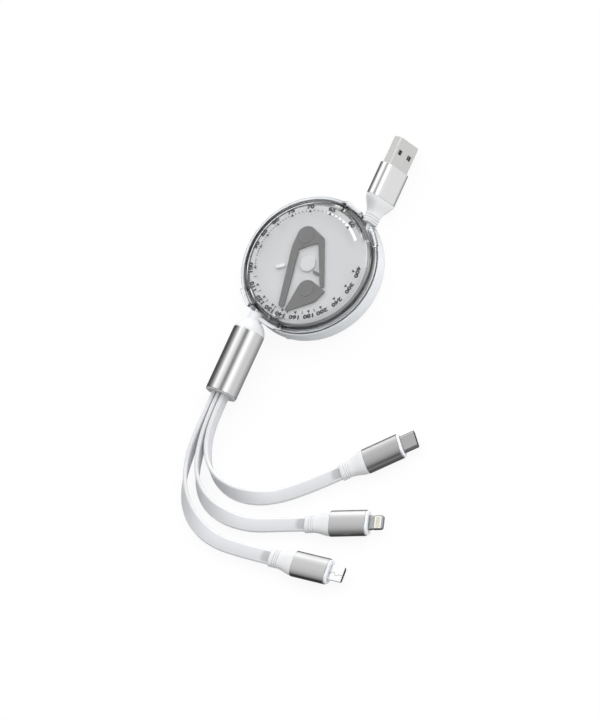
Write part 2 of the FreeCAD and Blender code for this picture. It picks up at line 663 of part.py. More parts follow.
def make_dial_plates():
    low, high = DIAL_TOP, PLATE_TOP
    boss = high + PLATE_BOSS_RISE
    parts["dial_lever"] = fused([
        tapered_plate(LEVER_HEAD, LEVER_HEAD_RADIUS, LEVER_ELBOW, LEVER_ELBOW_RADIUS, low, high),
        tapered_plate(LEVER_ELBOW, LEVER_ELBOW_RADIUS, LEVER_TIP, LEVER_TIP_RADIUS, low, high),
        tapered_plate(LEVER_HEAD, LEVER_HEAD_RADIUS, LEVER_SHOULDER, LEVER_SHOULDER_RADIUS, low, high),
        tapered_plate(LEVER_SHOULDER, LEVER_SHOULDER_RADIUS, LEVER_FOOT, LEVER_FOOT_RADIUS, low, high),
        tapered_plate(LINK_START, LINK_RADIUS, LINK_END, LINK_RADIUS, low, high),
        Part.makeCylinder(LEVER_BOSS_RADIUS, boss - low, Vector(*LEVER_HEAD, low)),
    ])
    parts["dial_cam"] = fused([
        tapered_plate(CAM_BOSS, CAM_RADIUS, CAM_TIP, CAM_TIP_RADIUS, low, high),
        tapered_plate(CAM_BOSS, CAM_RADIUS, CAM_BULGE, CAM_BULGE_RADIUS, low, high),
        tapered_plate(CAM_BULGE, CAM_BULGE_RADIUS, CAM_TIP, CAM_TIP_RADIUS, low, high),
        tapered_plate(CAM_BULGE, CAM_BULGE_RADIUS, CAM_HORN, CAM_HORN_RADIUS, low, high),
        tapered_plate(CAM_BOSS, CAM_RADIUS, CAM_HORN, CAM_HORN_RADIUS, low, high),
        Part.makeCylinder(CAM_BOSS_RADIUS, boss - low, Vector(*CAM_BOSS, low)),
    ])
    parts["dial_pawl"] = tapered_plate(PAWL_START, PAWL_RADIUS, PAWL_END, PAWL_RADIUS, low, high)


def make_power_spring():
    inner = POST_RADIUS + RUNNING + HUB_WALL + SPRING_PLAY
    outer = SPRING_CASE_RADIUS - SPRING_CASE_WALL - SPRING_PLAY
    half_turns = int((outer - inner - SPRING_STRIP - SPRING_PITCH / 2) / (SPRING_PITCH / 2))

    def spiral(first):
        """Half-turn arcs from a first radius, and the point where the last one ends."""
        edges = []
        for index in range(half_turns):
            radius = first + index * SPRING_PITCH / 2
            side = 1 if index % 2 == 0 else -1
            x = 0 if side == 1 else SPRING_PITCH / 2
            start = Vector(x + side * radius, 0, 0)
            end = Vector(x - side * radius, 0, 0)
            edges.append(Part.Arc(start, Vector(x, side * radius, 0), end).toShape())
        return edges, end

    inside, inside_end = spiral(inner)
    outside, outside_end = spiral(inner + SPRING_STRIP)
    ends = [
        Part.LineSegment(Vector(inner, 0, 0), Vector(inner + SPRING_STRIP, 0, 0)).toShape(),
        Part.LineSegment(inside_end, outside_end).toShape(),
    ]
    face = Part.Face(Part.Wire(Part.__sortEdges__(inside + outside + ends)))
    face.translate(Vector(0, 0, SPOOL_FLOOR + PLAY))
    parts["power_spring"] = face.extrude(Vector(0, 0, WEB_FLOOR - SPOOL_FLOOR - 2 * PLAY))


def make_lock_ball():
    height = SHELL_FLOOR + BALL_RADIUS + SLIP
    parts["lock_ball"] = Part.makeSphere(BALL_RADIUS, polar(LOCK_RADIUS, LOCK_ANGLE, height))


def make_wound_cable():
    low = EXIT_HEIGHT - LEAD_WIDTH / 2
    parts["wound_cable"] = ring(HUB_RADIUS + SLIP, ROLL_RADIUS, low, low + LEAD_WIDTH)


def lead(name, mouth, boot):
    """Flat lead on edge: off the roll in a straight line, round the mouth, into the plug."""
    away = math.hypot(mouth.x, mouth.y)
    angle = math.degrees(math.atan2(mouth.y, mouth.x) - math.acos(LEAD_RADIUS / away))
    start = polar(LEAD_RADIUS, angle, EXIT_HEIGHT)
    return ribbon(name, [start, mouth, boot], LEAD_WIDTH, LEAD_THICKNESS, LEAD_CHAMFER, on_edge)


def make_leads():
    boot = Vector(HOST_X, HOST_BOOT_Y, EXIT_HEIGHT)
    parts["host_lead"] = lead("host_lead", boot - Vector(0, LEAD_TURN_BACK, 0), boot)
    cap = Vector(SPLITTER_X, SPLITTER_CAP_Y, EXIT_HEIGHT)
    parts["splitter_lead"] = lead("splitter_lead", cap + Vector(0, LEAD_TURN_BACK, 0), cap)


def make_host_plug():
    roll = math.radians(HOST_ROLL)
    turn = FreeCAD.Rotation(Vector(0, 1, 0), Vector(-math.sin(roll), 0, math.cos(roll)),
                            Vector(math.cos(roll), 0, math.sin(roll)), "XYZ")
    place = FreeCAD.Placement(Vector(HOST_X, HOST_BOOT_Y, HOST_HEIGHT), turn)
    front = HOST_BOOT_LENGTH + HOST_SLEEVE_LENGTH
    tip = front + HOST_SHELL_REACH
    outer = (HOST_SLEEVE_WIDTH, HOST_SLEEVE_THICKNESS)
    inner = sleeve_inside(*outer, SLEEVE_WALL)
    boot = boot_body((HOST_NECK_WIDTH, HOST_NECK_THICKNESS), HOST_NECK_LENGTH,
                     (outer[0] - 2 * BOOT_STEP, outer[1] - 2 * BOOT_STEP), HOST_BOOT_LENGTH)
    boot = boot.fuse(obround_bar(*inner, HOST_BOOT_LENGTH, HOST_BOOT_LENGTH + SPIGOT))
    hole = (inner[0] + 2 * SLIP, inner[1] + 2 * SLIP)
    seat = front - HOST_SHELL_SEAT
    core = obround_bar(*inner, HOST_BOOT_LENGTH + SPIGOT + SLIP, front - HOST_CORE_RECESS)
    shell_bar = rounded_bar(HOST_SHELL_WIDTH, HOST_SHELL_THICKNESS, HOST_SHELL_CORNER, seat, tip)
    pocket = rounded_bar(HOST_SHELL_WIDTH + 2 * SLIP, HOST_SHELL_THICKNESS + 2 * SLIP,
                         HOST_SHELL_CORNER, seat, tip)
    inside_width = HOST_SHELL_WIDTH - 2 * HOST_SHELL_WALL
    inside_thickness = HOST_SHELL_THICKNESS - 2 * HOST_SHELL_WALL
    hollow = rounded_bar(inside_width, inside_thickness, HOST_SHELL_CORNER - HOST_SHELL_WALL, seat, tip)
    windows = []
    for side in (-1, 1):
        y = side * HOST_WINDOW_SPACING / 2
        x = tip - HOST_WINDOW_FROM_TIP
        half = HOST_WINDOW / 2
        windows.append(block((x - half, y - half, -HOST_SHELL_THICKNESS),
                             (x + half, y + half, HOST_SHELL_THICKNESS)))
    floor = -inside_thickness / 2 + SLIP
    top = floor + HOST_TONGUE_THICKNESS
    half = inside_width / 2 - SLIP - HOST_SHELL_CORNER
    tongue = block((seat, -half, floor), (tip - HOST_TONGUE_SETBACK, half, top))
    contact_tip = tip - 2 * HOST_TONGUE_SETBACK
    contacts = contact_row(HOST_CONTACT_COUNT, HOST_CONTACT_PITCH, HOST_CONTACT_WIDTH,
                           (contact_tip - HOST_CONTACT_LENGTH, contact_tip), (top, top + HOST_CONTACT_RISE))
    made = {
        "host_boot": boot,
        "host_sleeve": tube(outer, hole, HOST_BOOT_LENGTH, front),
        "host_core": core.cut(pocket),
        "host_shell": shell_bar.cut([hollow] + windows),
        "host_tongue": tongue,
        "host_contacts": Part.makeCompound(contacts),
    }
    set_down(made, place)


def make_splitter():
    axis_start = Vector(SPLITTER_X, SPLITTER_CAP_Y, SPLITTER_HEIGHT)
    place = FreeCAD.Placement(axis_start, FreeCAD.Rotation(Vector(1, 0, 0), 90))
    inner = SPLITTER_RADIUS - SPLITTER_WALL
    length = SPLITTER_CAP_LENGTH
    end = length + SPLITTER_LENGTH
    dome = SPLITTER_RADIUS - SPLITTER_CAP_STEP
    neck = SPLITTER_NECK_LENGTH
    neck_radius = SPLITTER_NECK_RADIUS
    fit = inner - SLIP
    rim = SPLITTER_RADIUS - SPLITTER_END_STEP
    face = end + SPLITTER_END
    section = polyline([(0, length + SPIGOT), (0, 0), (neck_radius, 0), (neck_radius, neck)])
    section.append(arc((neck_radius, neck), (SPLITTER_DOME_MID, (neck + length) / 2), (dome, length)))
    section += polyline([(dome, length), (fit, length), (fit, length + SPIGOT), (0, length + SPIGOT)])
    end_section = polyline([(0, face), (0, end - SPIGOT), (fit, end - SPIGOT), (fit, end), (rim, end),
                            (rim, face), (0, face)])
    board_start, board_end = length + SPIGOT + PLAY, end - SPIGOT - PLAY
    board = block((-SPLICE_WIDTH / 2, -SPLICE_THICKNESS / 2, board_start),
                  (SPLICE_WIDTH / 2, SPLICE_THICKNESS / 2, board_end))
    made = {
        "splitter_cap": revolved(section),
        "splitter_sleeve": ring(inner, SPLITTER_RADIUS, length, end),
        "splitter_end": revolved(end_section),
        "splice_board": board,
    }
    set_down(made, place)


def plug_body(kind, place, metal_pocket):
    """Boot, sleeve and white core that every tail plug shares."""
    front = BOOT_LENGTH + SLEEVE_LENGTH
    outer = (SLEEVE_WIDTH, SLEEVE_THICKNESS)
    inner = sleeve_inside(*outer, SLEEVE_WALL)
    hole = (inner[0] + 2 * SLIP, inner[1] + 2 * SLIP)
    boot = boot_body((NECK_WIDTH, NECK_THICKNESS), NECK_LENGTH,
                     (outer[0] - 2 * BOOT_STEP, outer[1] - 2 * BOOT_STEP), BOOT_LENGTH)
    boot = boot.fuse(obround_bar(*inner, BOOT_LENGTH, BOOT_LENGTH + SPIGOT))
    collar_end = front + COLLAR_LENGTH
    collar = obround_bar(outer[0] - 2 * COLLAR_STEP, outer[1] - 2 * COLLAR_STEP, front, collar_end)
    nose = [e for e in collar.Edges if e.BoundBox.XMin > collar_end - SLIP]
    collar = collar.makeChamfer(COLLAR_BEVEL, nose)
    core = obround_bar(*inner, BOOT_LENGTH + SPIGOT + SLIP, front).fuse(collar)
    made = {
        kind + "_boot": boot,
        kind + "_sleeve": tube(outer, hole, BOOT_LENGTH, front),
        kind + "_core": core.cut(metal_pocket).removeSplitter(),
    }
    set_down(made, place)


def set_down(made, place):
    """Put finished plug pieces in their place on the table."""
    for name, shape in made.items():
        shape.Placement = place.multiply(shape.Placement)
        parts[name] = shape


def tail_place(kind):
    """Frame of a tail plug: boot's start, and its axis along the way the plug points."""
    (x, y), yaw = PLUG_PLACES[kind]
    return FreeCAD.Placement(Vector(x, y, PLUG_HEIGHT), FreeCAD.Rotation(Vector(0, 0, 1), yaw))


def make_type_c():
    place = tail_place("type_c")
    front = BOOT_LENGTH + SLEEVE_LENGTH + COLLAR_LENGTH
    seat, tip = front - SHELL_SEAT, front + TYPE_C_REACH
    inside = (TYPE_C_WIDTH - 2 * PLUG_SHEET, TYPE_C_THICKNESS - 2 * PLUG_SHEET)
    insert_tip = tip - INSERT_SETBACK
    slot = obround_bar(TYPE_C_SLOT_WIDTH, TYPE_C_SLOT_HEIGHT, tip - TYPE_C_SLOT_DEPTH, tip)
    insert = obround_bar(inside[0] - 2 * SLIP, inside[1] - 2 * SLIP, seat, insert_tip).cut(slot)
    half = TYPE_C_SLOT_HEIGHT / 2
    reach = (tip - TYPE_C_SLOT_DEPTH, insert_tip - INSERT_SETBACK)
    rows = []
    for low in (-half, half - TYPE_C_CONTACT_RISE):
        rows += contact_row(TYPE_C_CONTACTS, TYPE_C_CONTACT_PITCH, TYPE_C_CONTACT_WIDTH, reach,
                            (low, low + TYPE_C_CONTACT_RISE))
    plug_body("type_c", place, obround_bar(TYPE_C_WIDTH + 2 * SLIP, TYPE_C_THICKNESS + 2 * SLIP, seat, tip))
    set_down({
        "type_c_shell": tube((TYPE_C_WIDTH, TYPE_C_THICKNESS), inside, seat, tip),
        "type_c_insert": insert,
        "type_c_contacts": Part.makeCompound(rows),
    }, place)


def make_tab():
    place = tail_place("tab")
    front = BOOT_LENGTH + SLEEVE_LENGTH + COLLAR_LENGTH
    seat, tip = front - SHELL_SEAT, front + TAB_REACH
    half = TAB_THICKNESS / 2
    tab = obround_bar(TAB_WIDTH, TAB_THICKNESS, seat, tip)
    round_x = tip - TAB_TIP_ROUND
    corner_cut = block((round_x, -TAB_WIDTH, -TAB_WIDTH), (tip + TAB_WIDTH, TAB_WIDTH, TAB_WIDTH))
    inner_half = TAB_WIDTH / 2 - TAB_TIP_ROUND
    keep = [block((round_x, -inner_half, -TAB_WIDTH), (tip, inner_half, TAB_WIDTH))]
    for side in (-1, 1):
        base = Vector(round_x, side * inner_half, -TAB_WIDTH)
        keep.append(Part.makeCylinder(TAB_TIP_ROUND, 2 * TAB_WIDTH, base))
    tab = tab.cut(corner_cut).fuse(tab.common(fused(keep))).removeSplitter()
    insert_end = tip - TAB_INSERT_FROM_TIP
    notch_x = tip - TAB_NOTCH_FROM_TIP
    inserts, contacts, cuts = [], [], []
    for side in (-1, 1):
        z = sorted((side * half, side * (half - TAB_INSERT_DEPTH)))
        y = TAB_INSERT_WIDTH / 2
        corner = (insert_end - TAB_INSERT_LENGTH, -y, z[0])
        cuts.append(block(corner, (insert_end, y, z[1])))
        inserts.append(block((corner[0] + SLIP, -y + SLIP, z[0]), (insert_end - SLIP, y - SLIP, z[1])))
        middle = insert_end - TAB_INSERT_LENGTH / 2
        outside = sorted((side * half, side * (half + TAB_CONTACT_RISE)))
        contacts += contact_row(TAB_CONTACTS, TAB_CONTACT_PITCH, TAB_CONTACT_WIDTH,
                                (middle - TAB_CONTACT_LENGTH / 2, middle + TAB_CONTACT_LENGTH / 2), outside)
        base = Vector(notch_x, side * (TAB_WIDTH / 2 + TAB_NOTCH), -TAB_WIDTH)
        cuts.append(Part.makeCylinder(2 * TAB_NOTCH, 2 * TAB_WIDTH, base))
    plug_body("tab", place, obround_bar(TAB_WIDTH + 2 * SLIP, TAB_THICKNESS + 2 * SLIP, seat, tip))
    set_down({
        "tab_blade": tab.cut(cuts),
        "tab_insert": Part.makeCompound(inserts),
        "tab_contacts": Part.makeCompound(contacts),
    }, place)


def micro_bar(width, thickness, bevel, start, end):
    """Bar of the micro plug's section: flat top, slanted lower corners."""
    w, t = width / 2, thickness / 2
    outline = [(-w, t), (w, t), (w, -t + bevel), (w - bevel, -t), (-w + bevel, -t), (-w, -t + bevel)]
    corners = [Vector(start, y, z) for y, z in outline]
    return Part.Face(Part.makePolygon(corners + corners[:1])).extrude(Vector(end - start, 0, 0))


def make_micro():
    place = tail_place("micro")
    front = BOOT_LENGTH + SLEEVE_LENGTH + COLLAR_LENGTH
    seat, tip = front - SHELL_SEAT, front + MICRO_REACH
    size = (MICRO_WIDTH, MICRO_THICKNESS)
    hollow_size = (size[0] - 2 * PLUG_SHEET, size[1] - 2 * PLUG_SHEET)
    shell = micro_bar(*size, MICRO_BEVEL, seat, tip)
    hollow = micro_bar(*hollow_size, MICRO_BEVEL - PLUG_SHEET / 2, seat, tip)
    roof = MICRO_THICKNESS / 2
    hook_x = tip - MICRO_HOOK_FROM_TIP
    hooks = []
    for side in (-1, 1):
        y = side * MICRO_HOOK_SPACING / 2
        low = (hook_x - MICRO_HOOK_LENGTH / 2, y - MICRO_HOOK_WIDTH / 2, -roof - MICRO_HOOK_RISE)
        high = (hook_x + MICRO_HOOK_LENGTH / 2, y + MICRO_HOOK_WIDTH / 2, -roof + PLUG_SHEET / 2)
        hooks.append(block(low, high))
    tongue_roof = roof - PLUG_SHEET - SLIP
    tongue_floor = tongue_roof - MICRO_TONGUE_THICKNESS
    half = MICRO_TONGUE_WIDTH / 2
    tongue = block((seat, -half, tongue_floor), (tip - MICRO_TONGUE_SETBACK, half, tongue_roof))
    contact_floor = tongue_floor - MICRO_CONTACT_RISE
    contacts = contact_row(MICRO_CONTACTS, MICRO_CONTACT_PITCH, MICRO_CONTACT_WIDTH,
                           (front, tip - 2 * MICRO_TONGUE_SETBACK), (contact_floor, tongue_floor))
    plug_body("micro", place, micro_bar(size[0] + 2 * SLIP, size[1] + 2 * SLIP, MICRO_BEVEL, seat, tip))
    set_down({
        "micro_shell": shell.cut(hollow).multiFuse(hooks),
        "micro_tongue": tongue,
        "micro_contacts": Part.makeCompound(contacts),
    }, place)


def make_tails():
    for kind, middle in TAIL_ROUTES.items():
        start = Vector(SPLITTER_X + TAIL_ROW[kind] * TAIL_PITCH, SPLITTER_FACE_Y, SPLITTER_HEIGHT)
        place = tail_place(kind)
        end = place.Base
        back = place.Rotation.multVec(Vector(-TAIL_LAST_RUN, 0, 0))
        route = [start, start + Vector(0, -TAIL_FIRST_RUN, 0)]
        route += [Vector(*point) for point in middle]
        route += [end + back, end]
        name = kind + "_tail"
        parts[name] = ribbon(name, route, TAIL_WIDTH, TAIL_THICKNESS, TAIL_CHAMFER, edge_to_flat)


def main():
    make_back_shell()
    make_front_cover()
    make_case_screws()
    make_spool()
    make_dial_plate()
    make_hub_cap()
    make_dial_plates()
    make_power_spring()
    make_lock_ball()
    make_wound_cable()
    make_leads()
    make_host_plug()
    make_splitter()
    make_type_c()
    make_tab()
    make_micro()
    make_tails()
    os.makedirs("parts", exist_ok=True)
    for name, shape in parts.items():
        if not shape.isValid():
            print("not valid:", name)
        shape.exportStep("parts/" + name + ".step")


main()
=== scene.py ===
"""Looks of the retractable charging cable: finishes, boots, sleeves, flat cords and the printed scale."""

import json
import math

import bmesh
import bpy
from bpy.props import FloatProperty, FloatVectorProperty, IntProperty, PointerProperty
from mathutils import Matrix, Vector

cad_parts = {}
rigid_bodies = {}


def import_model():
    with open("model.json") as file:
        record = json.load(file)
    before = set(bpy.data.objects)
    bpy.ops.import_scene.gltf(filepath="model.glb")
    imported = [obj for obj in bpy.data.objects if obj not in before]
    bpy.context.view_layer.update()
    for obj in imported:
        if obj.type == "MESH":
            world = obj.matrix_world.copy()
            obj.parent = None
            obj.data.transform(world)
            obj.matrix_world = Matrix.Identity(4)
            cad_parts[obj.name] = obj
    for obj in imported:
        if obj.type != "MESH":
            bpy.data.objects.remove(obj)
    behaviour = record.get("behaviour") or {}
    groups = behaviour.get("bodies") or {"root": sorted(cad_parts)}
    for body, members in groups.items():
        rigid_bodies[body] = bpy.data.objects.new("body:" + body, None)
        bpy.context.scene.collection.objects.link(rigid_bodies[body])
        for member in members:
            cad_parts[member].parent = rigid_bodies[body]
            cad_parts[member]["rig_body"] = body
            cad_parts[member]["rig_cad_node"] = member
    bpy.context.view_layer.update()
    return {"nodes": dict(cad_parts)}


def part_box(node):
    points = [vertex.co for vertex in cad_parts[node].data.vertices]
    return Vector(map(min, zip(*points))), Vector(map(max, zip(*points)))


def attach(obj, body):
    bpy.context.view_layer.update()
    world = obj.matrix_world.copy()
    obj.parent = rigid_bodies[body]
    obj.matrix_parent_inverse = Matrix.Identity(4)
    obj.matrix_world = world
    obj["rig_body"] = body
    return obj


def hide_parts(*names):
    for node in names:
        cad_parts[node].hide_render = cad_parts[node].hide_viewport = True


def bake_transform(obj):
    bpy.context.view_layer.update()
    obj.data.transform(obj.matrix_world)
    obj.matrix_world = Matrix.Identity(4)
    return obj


bl_info = {
    "name": "Retractable charging cable",
    "version": (1, 0, 0),
    "blender": (4, 5, 0),
    "location": "View3D > Sidebar > Charging cable",
    "description": "Finishes a spring reel with a host plug, a splitter and three device plugs",
    "category": "Object",
}

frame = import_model()
MM = 0.001

# Bodies of the frame
HOUSING = "housing"
SPOOL = "spool"
HOST = "host_end"
SPLITTER = "splitter_end_body"

# Places that follow the frame
REEL_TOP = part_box("front_cover")[1].z
SPLITTER_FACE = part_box("splitter_end")[0].y

# Starts of the splitter and the host plug, the reel's mouths, and the height of the tail plugs
SPLITTER_START = Vector((-14.8, -27.072, 7.2)) * MM
HOST_START = Vector((17.4, 26.356, 7.678)) * MM
MOUTHS = (Vector((16.5, 24.5, 12.0)) * MM, Vector((-15.0, -25.5, 12.0)) * MM)
PLUG_HEIGHT = 3.2 * MM
# Each tail plug: where its boot starts in millimetres, and the way it points in degrees from +X
PLUG_PLACES = {
    "type_c": ((53.3, -80.8), 43.0),
    "tab": ((47.9, -107.1), 19.0),
    "micro": ((39.1, -125.9), 5.0),
}

# Straight runs of a tail out of the splitter and into its boot
TAIL_FIRST_RUN = 12.5 * MM
TAIL_LAST_RUN = 12.0 * MM
# Middle of each tail's route in millimetres
TAIL_ROUTES = {
    "type_c": [(-11.2, -88.7, 5.6), (-7.1, -96.7, 4.6), (0.4, -102.7, 3.8), (12.2, -105.0, 3.0),
               (27.8, -101.3, 2.6)],
    "tab": [(-13.5, -92.1, 5.6), (-10.1, -103.8, 4.6), (-1.6, -112.5, 3.8), (10.1, -115.9, 3.0),
            (23.1, -115.5, 2.6)],
    "micro": [(-17.4, -96.6, 5.4), (-13.2, -111.5, 4.4), (-3.7, -121.8, 3.5), (10.0, -127.2, 2.7)],
}
# Each tail's place in the splitter's row, in pitches from its middle
TAIL_ROW = {"type_c": 1, "tab": 0, "micro": -1}
# Leads: from the roll, round the mouth, into the plug, in millimetres
LEAD_ROUTES = {
    "host_lead": [(22.2, 5.81, 7.4), (17.4, 24.156, 7.4), (17.4, 26.356, 7.4)],
    "splitter_lead": [(-21.32, -8.49, 7.4), (-14.8, -24.872, 7.4), (-14.8, -27.072, 7.4)],
}
# Share of a lead's last run after which it stretches when pulled
ROUTE_POINTS = 10
EDGE_POINTS = 7
# A tail's painted shadow of its boot: the distances from its boot between which it fades, and its share of
# the colour
TAIL_SHADE_FROM = 3.4 * MM
TAIL_SHADE_UNTIL = 5.2 * MM
TAIL_SHADE = 0.68

# Necks of the boots: width, thickness and length
HOST_NECK = (7.6 * MM, 4.4 * MM, 4.1 * MM)
TAIL_NECK = (7.8 * MM, 4.0 * MM, 4.4 * MM)
# Grooves in those necks: start of the first, pitch and width
HOST_GROOVES = (0.6 * MM, 1.15 * MM, 0.6 * MM)
TAIL_GROOVES = (1.75 * MM, 1.0 * MM, 0.55 * MM)
GROOVE_COUNT = 3
# A neck's chamfer: its length, and the width that it takes away
NECK_CHAMFER = (0.25 * MM, 0.3 * MM)
# A boot's flared end and its spigot: how much narrower than the sleeve; and the spigot's length
FLARE_STEP = 0.3 * MM
SPIGOT_STEP = 1.3 * MM
SPIGOT_LENGTH = 2.0 * MM
FLARE_RINGS = 10
# Splitter's cap: its neck, its spigot and the rings of its dome
CAP_NECK = 6.8 * MM
CAP_NECK_LENGTH = 3.6 * MM
CAP_SPIGOT_STEP = 1.5 * MM
CAP_RINGS = 14
# Power that fills out the crowned oval of a tail plug's section
CROWN_POWER = 0.78

# Dovetailed seam on the micro shell's top: corners in millimetres along and across, and half its width
MICRO_SEAM = ((1.2, -0.6), (2.0, -0.6), (2.4, 0.1), (3.6, 0.1), (4.2, -1.0), (5.2, -1.0), (5.7, -0.5),
              (7.6, -0.5))
SEAM_HALF = 0.08 * MM

# Rounds in millimetres on the edges of CAD nodes' finished copies
COPY_EDGE = 0.15
COPY_EDGES = {"host_shell": 0.1, "splitter_end": 0.12, "type_c_shell": 0.12, "tab_blade": 0.12,
              "micro_shell": 0.14}
# Points closer than this are one, and edges sharper than these are rounded or shaded crisp
MERGE = 0.001 * MM
ROUND_ABOVE = math.radians(40)
CRISP = math.radians(35)
SOFT_CRISP = math.radians(50)
# Faces of a CAD node's copy that turn less than this are one
FLAT_BELOW = math.radians(0.5)

# Numbers of the scale, each at FULL_TURN / number of a turn from its top
FULL_TURN = 60
SCALE_NUMBERS = (60, 65, 70, 75, 80, 85, 90, 100, 110, 120, 130, 140, 160, 180, 200, 240, 300, 400)
# Degrees by which some numbers stand ahead of that
SCALE_LEADS = {110: 0.8, 120: 1.3, 130: 2.0, 140: 3.7, 200: 1.9, 240: 0.9, 300: 1.0, 400: 0.7}
# Ticks between the numbers, with the ticks' lengths and width
FINE_TICKS = tuple(n for n in range(61, 100) if n % 5)
COARSE_TICKS = (105, 115, 125, 135, 150, 170, 190)
FINE_LENGTH = 0.65 * MM
COARSE_LENGTH = 1.4 * MM
TICK_WIDTH = 0.4 * MM
# Triangles: width, length, and the share of the width left at the tip
TRIANGLE = (1.5 * MM, 1.35 * MM, 0.05)
# Numbers: stretch sideways, spacing, and the stroke's growth as a share of the letter size
NUMBER_STRETCH = 1.36
NUMBER_SPACING = 1.08
NUMBER_GROWTH = 0.068
# White arc: its ends, its inner edge inside the marks, and its width and growth in millimetres
ARC_FROM = math.radians(94)
ARC_UNTIL = math.radians(41)
ARC_STEPS = 48
ARC_INSET = 0.35 * MM
ARC_WIDTH = 0.5
ARC_GROWTH = 0.95

# Height of a finish's grain
GRAIN_HEIGHT = 0.05 * MM
# Grey of each tail plug's sleeve: the same metal, with a grey per plug painted to stand for the light that
# its sleeve reflects
SLEEVE_PAINTED_GREYS = {"type_c": 0.33, "tab": 0.4, "micro": 0.43}

# Floor below the reel's back, and how much of it glows white where it is seen
FLOOR_DROP = 0.2 * MM
FLOOR_GLOW = 0.9
# Lamps: place, side and energy; and the place that they point at
LAMPS = {
    "key lamp": ((0.6, 0.5, 0.8), 0.5, 0.3),
    "fill lamp": ((-0.65, 0.2, 0.3), 0.5, 1.1),
}
LAMP_TARGET = Vector((0.02, -0.03, 0.0))
# World: level by direction round +Y in degrees from +X
WORLD_BANDS = ((-180, 0.1), (-150, 0.12), (-118, 0.2), (-75, 0.35), (-50, 0.62), (-23, 0.94), (0, 0.9),
               (15, 1.0), (30, 1.5), (45, 1.7), (59, 1.0), (67, 0.34), (75, 0.2), (83, 0.38), (95, 1.0),
               (110, 1.28), (119, 1.38), (127, 1.75), (134, 1.25), (141, 0.85), (150, 0.52), (163, 0.28),
               (180, 0.1))
# World: factor by the share along +Y, and the bands' lean in radians beyond a share
WORLD_SIDES = ((-0.95, 0.28), (-0.67, 0.47), (-0.25, 0.85), (0.19, 1.0), (0.4, 1.4), (0.47, 2.2), (0.6, 2.4),
               (0.8, 1.5), (0.95, 1.5))
WORLD_LEAN = 1.2
WORLD_LEAN_FROM = 0.19


def span(name, description, default):
    """Length property with its default in millimetres."""
    return FloatProperty(name=name, description=description, default=default * MM, unit="LENGTH")


def degrees(name, description, default):
    """Angle property with its default in degrees."""
    return FloatProperty(name=name, description=description, default=math.radians(default), subtype="ANGLE")


def colour(name, description, default):
    """Colour property with a plain default."""
    return FloatVectorProperty(name=name, description=description, default=default, subtype="COLOR",
                               min=0.0, max=1.0)


class ChargeCableReel(bpy.types.PropertyGroup):
    """Sizes of the printed scale on the reel's lens."""
    scale_top: degrees("Scale top", "Direction of the 60 mark from +X", 59.5)
    mark_radius: span("Mark radius", "Circle of the triangles and ticks", 23.7)
    number_radius: span("Number radius", "Circle through the numbers' middles", 25.6)
    number_size: span("Number size", "Letter size of the numbers", 2.4)
    ink_thickness: span("Ink thickness", "Height of the print above the lens", 0.03)


class ChargeCablePlugs(bpy.types.PropertyGroup):
    """Sizes of boots and sleeves."""
    sleeve_width: span("Sleeve width", "Width of a tail plug's metal sleeve", 11.5)
    sleeve_thickness: span("Sleeve thickness", "Thickness of that sleeve", 6.2)
    sleeve_length: span("Sleeve length", "Length of that sleeve", 16.5)
    boot_length: span("Boot length", "Length of a tail plug's boot", 11.9)
    host_width: span("Host sleeve width", "Width of the host plug's metal sleeve", 15.6)
    host_thickness: span("Host sleeve thickness", "Thickness of that sleeve", 7.2)
    host_length: span("Host sleeve length", "Length of that sleeve", 15.0)
    host_boot: span("Host boot length", "Length of the host plug's boot", 11.5)
    host_roll: degrees("Host roll", "Lean of the host plug from standing on edge", 18.7)
    splitter_radius: span("Splitter radius", "Radius of the splitter's sleeve", 7.1)
    splitter_cap: span("Splitter cap", "Length of the splitter's domed cap", 9.0)
    splitter_length: span("Splitter length", "Length of the splitter's sleeve", 29.6)
    wall: span("Sleeve wall", "Sheet thickness of the sleeves", 0.6)
    edge: span("Edge round", "Round along the sleeves' ends", 0.15)
    rib_depth: span("Rib depth", "Depth of the grooves in a boot's neck", 0.38)
    seam_height: span("Seam height", "Micro shell's top above the plug's axis", 0.94)
    ring_points: IntProperty(name="Ring points", description="Points round a boot or sleeve", default=66,
                             min=18)


class ChargeCableCords(bpy.types.PropertyGroup):
    """Sizes of the flat cords."""
    tail_width: span("Tail width", "Width of a flat tail", 6.5)
    tail_thickness: span("Tail thickness", "Thickness of a flat tail", 1.8)
    tail_pitch: span("Tail pitch", "Distance between tails at the splitter", 2.3)
    lead_width: span("Lead width", "Width of the reel's flat lead", 4.2)
    lead_thickness: span("Lead thickness", "Thickness of that lead", 1.3)
    edge_until: FloatProperty(name="On edge until", description="Share of a tail that stands on edge",
                              default=0.22, subtype="FACTOR")
    flat_from: FloatProperty(name="Flat from", description="Share of a tail after which it lies flat",
                             default=0.72, subtype="FACTOR")


class ChargeCableFinishes(bpy.types.PropertyGroup):
    """Colours of the pieces."""
    case_white: colour("Case white", "Back of the reel, spool and plug cores and inserts", (0.78, 0.8, 0.83))
    soft_white: colour("Soft white", "Boots, splitter cap and the tails' edges", (0.74, 0.75, 0.765))
    cord_white: colour("Cord white", "Flat cords", (0.63, 0.64, 0.66))
    dial_grey: colour("Dial grey", "Plate under the lens", (0.47, 0.475, 0.485))
    plate_grey: colour("Plate grey", "Lever and cam on the dial", (0.07, 0.07, 0.067))
    pale_grey: colour("Pale grey", "Hub cap and splitter end", (0.54, 0.545, 0.55))
    contact_gold: colour("Contact gold", "Plated contacts", (0.56, 0.5, 0.3))
    ink: colour("Ink", "Printed numbers and marks", (0.045, 0.045, 0.05))


